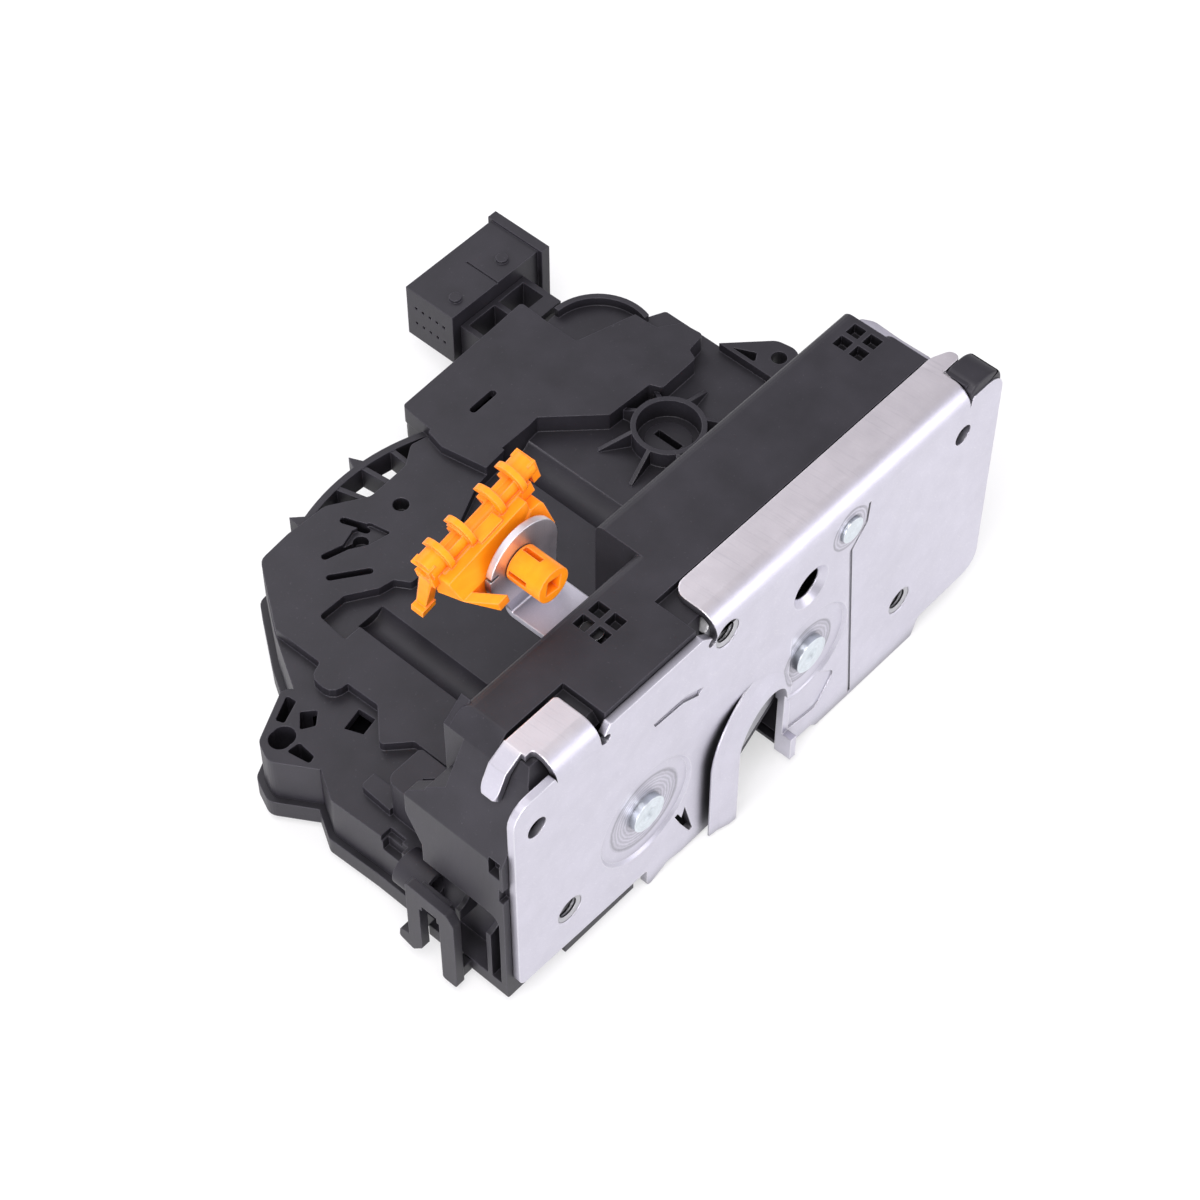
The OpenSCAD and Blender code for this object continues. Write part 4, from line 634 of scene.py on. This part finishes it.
class LOCK_OT_rivets(bpy.types.Operator):
    """Gives the rivets, axles and motor rings round their own axes"""

    bl_idname = "door_lock.rivets"
    bl_label = "Rivets and axles"

    def execute(self, context):
        rivet, bare = tuple(context.scene.lock_metal.rivet), tuple(context.scene.lock_metal.bare)
        for node in ("catch_rivet", "pawl_rivet", "plate_rivet"):
            low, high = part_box(node)
            cover_node(node, turned_metal(f"{node}_metal", rivet, (low + high) / 2))
        for node, tone, axis in (("release_lever_pin", scaled(bare, 0.12), "z"), ("wheel_axle", bare, "z"),
                                 ("lock_lever_axle", bare, "z"), ("inside_lever_axle", bare, "z"),
                                 ("lock_motor", bare, "x")):
            low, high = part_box(node)
            metal = turned_metal(f"{node}_metal", tone, (low + high) / 2, roughness=0.32, axis=axis)
            cover_node(node, metal)
        return {"FINISHED"}


class LOCK_OT_mouldings(bpy.types.Operator):
    """Finishes the black mouldings and the rubber buffers"""

    bl_idname = "door_lock.mouldings"
    bl_label = "Black mouldings"

    def execute(self, context):
        plastic = context.scene.lock_plastic
        black, wear_and_sheen = tuple(plastic.black), tuple(plastic.wear_and_sheen)
        for name, nodes, lift in (("black_housing", ("latch_housing", "cable_retainer"), 1.0),
                                  ("black_case", ("actuator_case", "connector_hood"), 1.08),
                                  ("black_cover", ("bottom_cover", "key_coupler", "catch_lining"), 0.9),
                                  ("black_switch", ("catch_switch", "lock_switch"), 1.3)):
            material = black_moulding(name, scaled(black, lift), wear_and_sheen, plastic.roughness, plastic.grain)
            for node in nodes:
                cover_node(node, material)
        rubber = soft_rubber("buffer_rubber")
        for node in ("mouth_buffer", "lever_buffers"):
            cover_node(node, rubber)
        return {"FINISHED"}


# Regions of the clip in the turned frame of its cradles, from its pin: along them, up and deep into the lock
CLIP_TILT = math.radians(13.5)
EAR_BACK = 0.0009  # what is deeper stands behind the lever's ear
LEAN_START, LEAN_FULL = 0.002, 0.006  # heights between which the lean grows
LEG_ALONG, LEG_DEEP, LEG_TOP, LEG_BOTTOM = -0.0122, 0.0035, 0.0055, -0.008
FOOT_ALONG = -0.010

# Moves of those regions along X, Y and Z
CRADLE_MOVE = np.array([0.0, 0.0024, -0.0012])
LEG_MOVE = np.array([0.0, 0.0030, -0.0004])
LEG_END_MOVE = np.array([-0.0019, 0.0029, 0.0004])
FOOT_MOVE = np.array([0.0041, 0.0, -0.0002])


class LOCK_OT_rod_clip(bpy.types.Operator):
    """Replaces the orange rod clip by one whose cradles, leg and foot stand where the real ones do"""

    bl_idname = "door_lock.rod_clip"
    bl_label = "Rod clip"

    def execute(self, context):
        tone = tuple(context.scene.lock_plastic.orange)
        orange = bright_moulding("orange_moulding", tone, ORANGE_FLOW_AND_SHADE, roughness=0.38, coat=0.1)
        cover_node("rod_clip", orange)
        swivel = next(joint for joint in RECORD["behaviour"]["joints"] if joint["name"] == "clip_swivel")
        points = leaning_clip(node_points("rod_clip"), np.array(swivel["pos_m"]))
        piece = put_mesh("leaning_clip", points, node_triangles("rod_clip"), "rod_clip", orange, sharp=30)
        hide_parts("rod_clip")
        return {"FINISHED"}


def leaning_clip(points, pin):
    """The clip's points, with its regions moved. Behind the ear, what stands higher than the pin leans
    back, in proportion to its height between LEAN_START and LEAN_FULL. The leg leans back and to the
    left, more towards its end in proportion to the distance from its top, and the foot past the lever's
    ear moves to the right."""
    away = points - pin
    along = away[:, 0] * math.cos(CLIP_TILT) + away[:, 2] * math.sin(CLIP_TILT)
    up = away[:, 2] * math.cos(CLIP_TILT) - away[:, 0] * math.sin(CLIP_TILT)
    deep = away[:, 1]
    leg = (along < LEG_ALONG) & (deep > LEG_DEEP) & (up < LEG_TOP)
    foot = (along < FOOT_ALONG) & (deep < 0.0)
    raised = np.clip((up - LEAN_START) / (LEAN_FULL - LEAN_START), 0, 1) * (deep > EAR_BACK)
    lowered = np.clip((LEG_TOP - up) / (LEG_TOP - LEG_BOTTOM), 0, 1)
    move = raised[:, None] * CRADLE_MOVE
    move = np.where(leg[:, None], LEG_MOVE + lowered[:, None] * LEG_END_MOVE, move)
    return points + np.where(foot[:, None], FOOT_MOVE, move)


class LOCK_OT_drive(bpy.types.Operator):
    """Finishes the gears, the lock lever and the circuit board"""

    bl_idname = "door_lock.drive"
    bl_label = "Lock drive"

    def execute(self, context):
        plastic = context.scene.lock_plastic
        tone = tuple(plastic.natural)
        # The darker tone colours flow lines and the painted shade in hollows
        natural = bright_moulding("natural_gear", tone, scaled(tone, 0.9), roughness=0.4)
        for node in ("motor_worm", "worm_wheel", "lock_lever"):
            cover_node(node, natural)
        cover_node("circuit_board", lacquered_board("board_lacquer", tuple(plastic.board)))
        return {"FINISHED"}


SMALL_GAP = 0.0001
NUT_REACH = 0.012  # points of a nut lie within this many metres of its axis
COLLAR_END = 0.0012  # points in front of this level belong to the collar
COLLAR_STEP = 0.0005  # the seat is at least this much wider than the collar


class LOCK_OT_nuts(bpy.types.Operator):
    """Replaces the plain fixing nuts by hexagonal nuts with a cut thread"""

    bl_idname = "door_lock.nuts"
    bl_label = "Fixing nuts"

    def execute(self, context):
        small = context.scene.lock_small
        low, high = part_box("fixing_nuts")
        grids = []
        for mount in (mount for mount in RECORD["mounts"] if mount["kind"] == "threaded_hole"):
            at = np.array(mount["pos_m"])
            core, reach = mount["dims"]["r_mm"] * MM, mount["dims"]["length_mm"] * MM
            apothem, collar, seat = nut_measures(at)
            levels = (low.y + SMALL_GAP, high.y - reach, seat, high.y)
            points, faces = nut_surface(apothem, core, collar, small.thread_depth, small.thread_pitch, levels)
            grids.append(under_fold(points + at * (1, 0, 1), small))
        bare = tuple(context.scene.lock_metal.bare)
        metal = sheet_metal("nut_metal", bare, roughness=0.36, edge=0.0002, scratch=0.3, deep=0.012)
        piece = put_mesh("threaded_nuts", np.array(grids), many(faces, grids), "fixing_nuts", metal)
        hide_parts("fixing_nuts")
        return {"FINISHED"}


def nut_measures(at):
    """Half the width across flats, the collar's radius and the seat's level of the CAD nut round a fixing
    hole."""
    points = node_points("fixing_nuts")
    away = np.hypot(points[:, 0] - at[0], points[:, 2] - at[2])
    own = away < NUT_REACH
    collar = float(away[own & (points[:, 1] < COLLAR_END)].max())
    seat = float(points[own & (away > collar + COLLAR_STEP), 1].min())
    return float(away[own].max() * math.cos(TURN / 12)), collar, seat


def under_fold(points, small):
    """Keeps points under the inner face of the plate's long fold. That face is as high as the middle of
    the bend plus the root of the inner radius squared less the distance in front of the middle squared."""
    middle = small.fold_radius
    inner = small.fold_radius - small.sheet
    before = middle - np.minimum(points[..., 1], middle)
    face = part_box("latch_housing")[1].z - middle + np.sqrt(np.clip(inner ** 2 - before ** 2, 0, None))
    kept = points.copy()
    kept[..., 2] = np.minimum(points[..., 2], face - SMALL_GAP)
    return kept


SCREW_SHANK = 0.0013
SCREW_REACH = 0.008  # points of one screw lie within this many metres of each other


class LOCK_OT_screws(bpy.types.Operator):
    """Replaces the plain cover screws by screws with a domed head and a six-lobed recess"""

    bl_idname = "door_lock.screws"
    bl_label = "Cover screws"

    def execute(self, context):
        places = node_points("cover_screws")
        base = places[:, 2].min()
        points, faces = screw_surface(context.scene.lock_small.screw_head, SCREW_SHANK)
        grids = [points + (x, y, base) for x, y in screw_middles(places)]
        dull = scaled(tuple(context.scene.lock_metal.bare), 0.8)
        metal = sheet_metal("screw_metal", dull, roughness=0.34, edge=0.0002, scratch=0.2)
        piece = put_mesh("lobed_screws", np.array(grids), many(faces, grids), "cover_screws", metal)
        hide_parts("cover_screws")
        return {"FINISHED"}


def screw_middles(places):
    """Middles of the screws, each from the points that lie near the first one left."""
    left = places[:, :2]
    middles = []
    while len(left):
        near = np.hypot(*(left - left[0]).T) < SCREW_REACH
        middles.append((left[near].min(0) + left[near].max(0)) / 2)
        left = left[~near]
    return middles


# Corners of the right end's outlines from the flange's tip, each with its radius, in mm
NOSE_CORNERS = np.array([[-5.9, -6.4, 0.3], [-5.9, -0.9, 0.8], [-4.6, 0.3, 0.9], [1.4, 0.3, 2.6],
                         [4.4, -2.4, 2.2], [4.6, -6.4, 0.3]])
TIP_CORNERS = np.array([[-12.0, 5.6, 0.2], [-6.1, 5.6, 0.2], [-6.1, 7.9, 0.3], [-0.9, 7.9, 0.4],
                        [0, 8.8, 0.7], [-0.3, 10.6, 1.0], [-4.8, 12.5, 1.4], [-12.0, 12.42, 0.2]])
EDGE_CORNERS = np.array([[-6.4, 12.6, 0.2], [-3.8, 12.8, 0.4], [-4.0, 21.0, 2.0], [-3.6, 28.0, 1.0],
                         [-4.9, 30.6, 0.5], [-6.4, 31.0, 0.3]])

NOSE_FRONT, NOSE_BACK, NOSE_RIM = 0.0003, 0.0077, 0.0005
TIP_LIFT, TIP_RIM = 0.00003, 0.00012
TIP_SINK_PAST = 0.0067  # how far from its end the tip starts to sink into the CAD flange
TIP_SINK_FRONT = 0.0064  # level along Y in front of which it sinks into the bend
SINK_PAST_SHARE, SINK_FRONT_SHARE = 0.02, 0.08
EDGE_TOP, EDGE_BOTTOM, EDGE_RIM = 0.001, 0.0016, 0.0001  # the first two are levels below the roof


class LOCK_OT_right_end(bpy.types.Operator):
    """Adds the black nose at the plate's upper right corner, the flange's tip and the sheet's edge"""

    bl_idname = "door_lock.right_end"
    bl_label = "Right end"

    def execute(self, context):
        small = context.scene.lock_small
        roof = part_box("latch_housing")[1].z
        plated = NODES["latch_plate"].material_slots[0].material
        black = NODES["latch_housing"].material_slots[0].material
        put_mesh("corner_nose", *nose_surface(small.tip_reach, roof), "latch_housing", black)
        put_mesh("flange_tip", *tip_surface(small.tip_reach, roof, small.sheet), "latch_plate", plated)
        put_mesh("sheet_edge", *edge_surface(small.tip_reach, roof), "latch_plate", plated)
        return {"FINISHED"}


def nose_surface(tip, roof):
    """The nose: its outline in X and Z, carried back from the plate along Y."""
    return slab_surface(rounded_outline(NOSE_CORNERS * MM) + (tip, roof), NOSE_FRONT, NOSE_BACK, NOSE_RIM, 1)


def tip_surface(tip, roof, sheet):
    """The flange's tip: its outline in X and Y, one sheet thick. Where it lies in the CAD flange and its
    bend, it sinks in proportion to the distance from there, so that its hidden rims don't show."""
    outline = rounded_outline(TIP_CORNERS * MM) + (tip, 0)
    points, faces = slab_surface(outline, roof - sheet, roof + TIP_LIFT, TIP_RIM, 2)
    past = np.clip(tip - TIP_SINK_PAST - points[..., 0], 0, None)
    front = np.clip(TIP_SINK_FRONT - points[..., 1], 0, None)
    sunk = past * SINK_PAST_SHARE + front * SINK_FRONT_SHARE
    return points - sunk[..., None] * (0, 0, 1), faces


def edge_surface(tip, roof):
    """The sheet's edge beside the roof: its outline in X and Y, carried up between two levels."""
    outline = rounded_outline(EDGE_CORNERS * MM) + (tip, 0)
    return slab_surface(outline, roof - EDGE_BOTTOM, roof - EDGE_TOP, EDGE_RIM, 2)


PIN_WIDTH = 0.0008


class LOCK_OT_contacts(bpy.types.Operator):
    """Replaces the plain contact pins by pins with tapered points"""

    bl_idname = "door_lock.contacts"
    bl_label = "Contact pins"

    def execute(self, context):
        low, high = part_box("contact_pins")
        places = node_points("contact_pins")
        rows, columns = pin_middles(places[:, 1]), pin_middles(places[:, 2])
        points, faces = pin_surface(PIN_WIDTH, high.x - low.x, context.scene.lock_small.pin_taper)
        grids = [points + (low.x, y, z) for y in rows for z in columns]
        brass = tuple(context.scene.lock_metal.brass)
        metal = sheet_metal("contact_brass", brass, roughness=0.3, edge=0.0001, scratch=0.2)
        piece = put_mesh("tapered_pins", np.array(grids), many(faces, grids), "contact_pins", metal)
        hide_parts("contact_pins")
        return {"FINISHED"}


def pin_middles(places):
    """Middles of the pins along one axis, each from the places of its two sides."""
    sides = np.unique(np.round(places, 5))
    return (sides[::2] + sides[1::2]) / 2


class LOCK_OT_springs(bpy.types.Operator):
    """Finishes the wire springs"""

    bl_idname = "door_lock.springs"
    bl_label = "Springs"

    def execute(self, context):
        tone = tuple(context.scene.lock_metal.wire)
        wire = sheet_metal("drawn_wire", tone, roughness=0.3, edge=0.0001, scratch=0.4)
        for node in ("catch_spring", "pawl_spring", "release_lever_spring"):
            cover_node(node, wire)
        return {"FINISHED"}


# Place, width, share of the key lamp's power and colour of each lamp
LAMPS = {
    "key_lamp": ((-0.35, -0.15, 0.80), 0.55, 0.8, (1.0, 0.98, 0.97)),
    "side_lamp": ((-0.80, -0.20, 0.22), 0.5, 0.7, (0.96, 0.94, 1.0)),
    "fill_lamp": ((0.45, -0.65, 0.35), 0.7, 0.4, (0.95, 0.94, 1.0)),
    "back_lamp": ((0.15, 0.75, 0.55), 0.6, 0.4, (0.97, 0.96, 1.0)),
}
SKY_COLOUR = (0.965, 0.945, 1.0, 1)
WHITE = (1, 1, 1, 1)
SENSOR_WIDTH = 36.0  # mm
NEAREST, FARTHEST = 0.01, 20
FLOOR_REACH = 3.0
FLOOR_DROP = 0.0002
FLOOR_GLOW = 0.55  # share of plain white in the floor that the camera, glossy and clear surfaces see


class LOCK_OT_stage(bpy.types.Operator):
    """Makes the camera, the floor, the lamps and the surrounding light"""

    bl_idname = "door_lock.stage"
    bl_label = "Stage"

    def execute(self, context):
        scene, stage = context.scene, context.scene.lock_stage
        scene.view_settings.view_transform = "Standard"
        self.camera(scene, stage)
        self.floor(scene, stage)
        for name, (at, size, power, tone) in LAMPS.items():
            self.lamp(scene, name, at, size, stage.key * power, tone)
        self.sky(scene, stage)
        return {"FINISHED"}

    def camera(self, scene, stage):
        data = bpy.data.cameras.new("camera")
        camera = bpy.data.objects.new("camera", data)
        scene.collection.objects.link(camera)
        data.lens, data.sensor_width, data.sensor_fit = stage.lens, SENSOR_WIDTH, "AUTO"
        data.clip_start, data.clip_end = NEAREST, FARTHEST
        az, el = math.radians(stage.azimuth), math.radians(stage.elevation)
        back = Vector((math.sin(az) * math.cos(el), -math.cos(az) * math.cos(el), math.sin(el)))
        camera.location = stage.camera_at
        camera.rotation_euler = (-back).to_track_quat("-Z", "Y").to_euler()
        scene.camera = camera

    def floor(self, scene, stage):
        corners = np.array([[-1, -1], [1, -1], [1, 1], [-1, 1]]) * FLOOR_REACH
        mesh = bpy.data.meshes.new("floor")
        mesh.from_pydata(np.insert(corners, 2, CAD_BOX[0][2] - FLOOR_DROP, axis=1), [], [(0, 1, 2, 3)])
        floor = bpy.data.objects.new("floor", mesh)
        scene.collection.objects.link(floor)
        paint = Paint("floor_paper", Roughness=0.9, Specular_IOR_Level=0.0, Base_Color=(*stage.floor, 1))
        path = paint.node("ShaderNodeLightPath")
        camera_ray, glossy_ray, clear_ray = path[0], path[3], path[6]
        seen = camera_ray + glossy_ray + clear_ray
        glow = paint.node("ShaderNodeEmission", None, {"Color": WHITE, "Strength": 1.0})[0]
        sockets = {0: seen.calc("MULTIPLY", seen, FLOOR_GLOW, clamp=True),
                   1: Wire(paint, paint.shader.outputs[0]), 2: glow}
        mixed = paint.node("ShaderNodeMixShader", None, sockets)[0]
        paint.tree.links.new(mixed.socket, paint.output.inputs[0])
        mesh.materials.append(paint.material)

    def lamp(self, scene, name, at, size, power, tone):
        data = bpy.data.lights.new(name, "AREA")
        data.shape, data.size, data.energy, data.color = "DISK", size, power, tone
        lamp = bpy.data.objects.new(name, data)
        scene.collection.objects.link(lamp)
        lamp.location = at
        lamp.rotation_euler = (-Vector(at)).to_track_quat("-Z", "Y").to_euler()

    def sky(self, scene, stage):
        world = bpy.data.worlds.new("studio")
        scene.world = world
        world.use_nodes = True
        tree = world.node_tree
        tree.nodes.clear()
        path = tree.nodes.new("ShaderNodeLightPath")
        light = tree.nodes.new("ShaderNodeBackground")
        white = tree.nodes.new("ShaderNodeBackground")
        mix = tree.nodes.new("ShaderNodeMixShader")
        out = tree.nodes.new("ShaderNodeOutputWorld")
        light.inputs["Color"].default_value = SKY_COLOUR
        light.inputs["Strength"].default_value = stage.sky
        white.inputs["Color"].default_value = WHITE
        tree.links.new(path.outputs["Is Camera Ray"], mix.inputs[0])
        tree.links.new(light.outputs[0], mix.inputs[1])
        tree.links.new(white.outputs[0], mix.inputs[2])
        tree.links.new(mix.outputs[0], out.inputs[0])


OPERATORS = (LOCK_OT_plates, LOCK_OT_rivets, LOCK_OT_mouldings, LOCK_OT_rod_clip, LOCK_OT_drive, LOCK_OT_nuts,
             LOCK_OT_screws, LOCK_OT_right_end, LOCK_OT_contacts, LOCK_OT_springs, LOCK_OT_stage)


class LOCK_PT_panel(bpy.types.Panel):
    """The pieces of the door lock and their settings"""

    bl_idname = "LOCK_PT_panel"
    bl_label = "Door lock"
    bl_space_type = "VIEW_3D"
    bl_region_type = "UI"
    bl_category = "Door lock"

    def draw(self, context):
        for operator in OPERATORS:
            self.layout.operator(operator.bl_idname)
        for group in (getattr(context.scene, name) for name in GROUPS):
            box = self.layout.box()
            for name in group.__annotations__:
                box.prop(group, name)


CLASSES = (LockMetal, LockPlastic, LockSmall, LockStage, *OPERATORS, LOCK_PT_panel)
GROUPS = {"lock_metal": LockMetal, "lock_plastic": LockPlastic, "lock_small": LockSmall,
          "lock_stage": LockStage}


def register():
    for cls in CLASSES:
        bpy.utils.register_class(cls)
    for name, group in GROUPS.items():
        setattr(bpy.types.Scene, name, PointerProperty(type=group))


def unregister():
    for name in GROUPS:
        delattr(bpy.types.Scene, name)
    for cls in reversed(CLASSES):
        bpy.utils.unregister_class(cls)


def main():
    register()
    for operator in OPERATORS:
        group, name = operator.bl_idname.split(".")
        getattr(getattr(bpy.ops, group), name)()


if __name__ == "__main__":
    main()
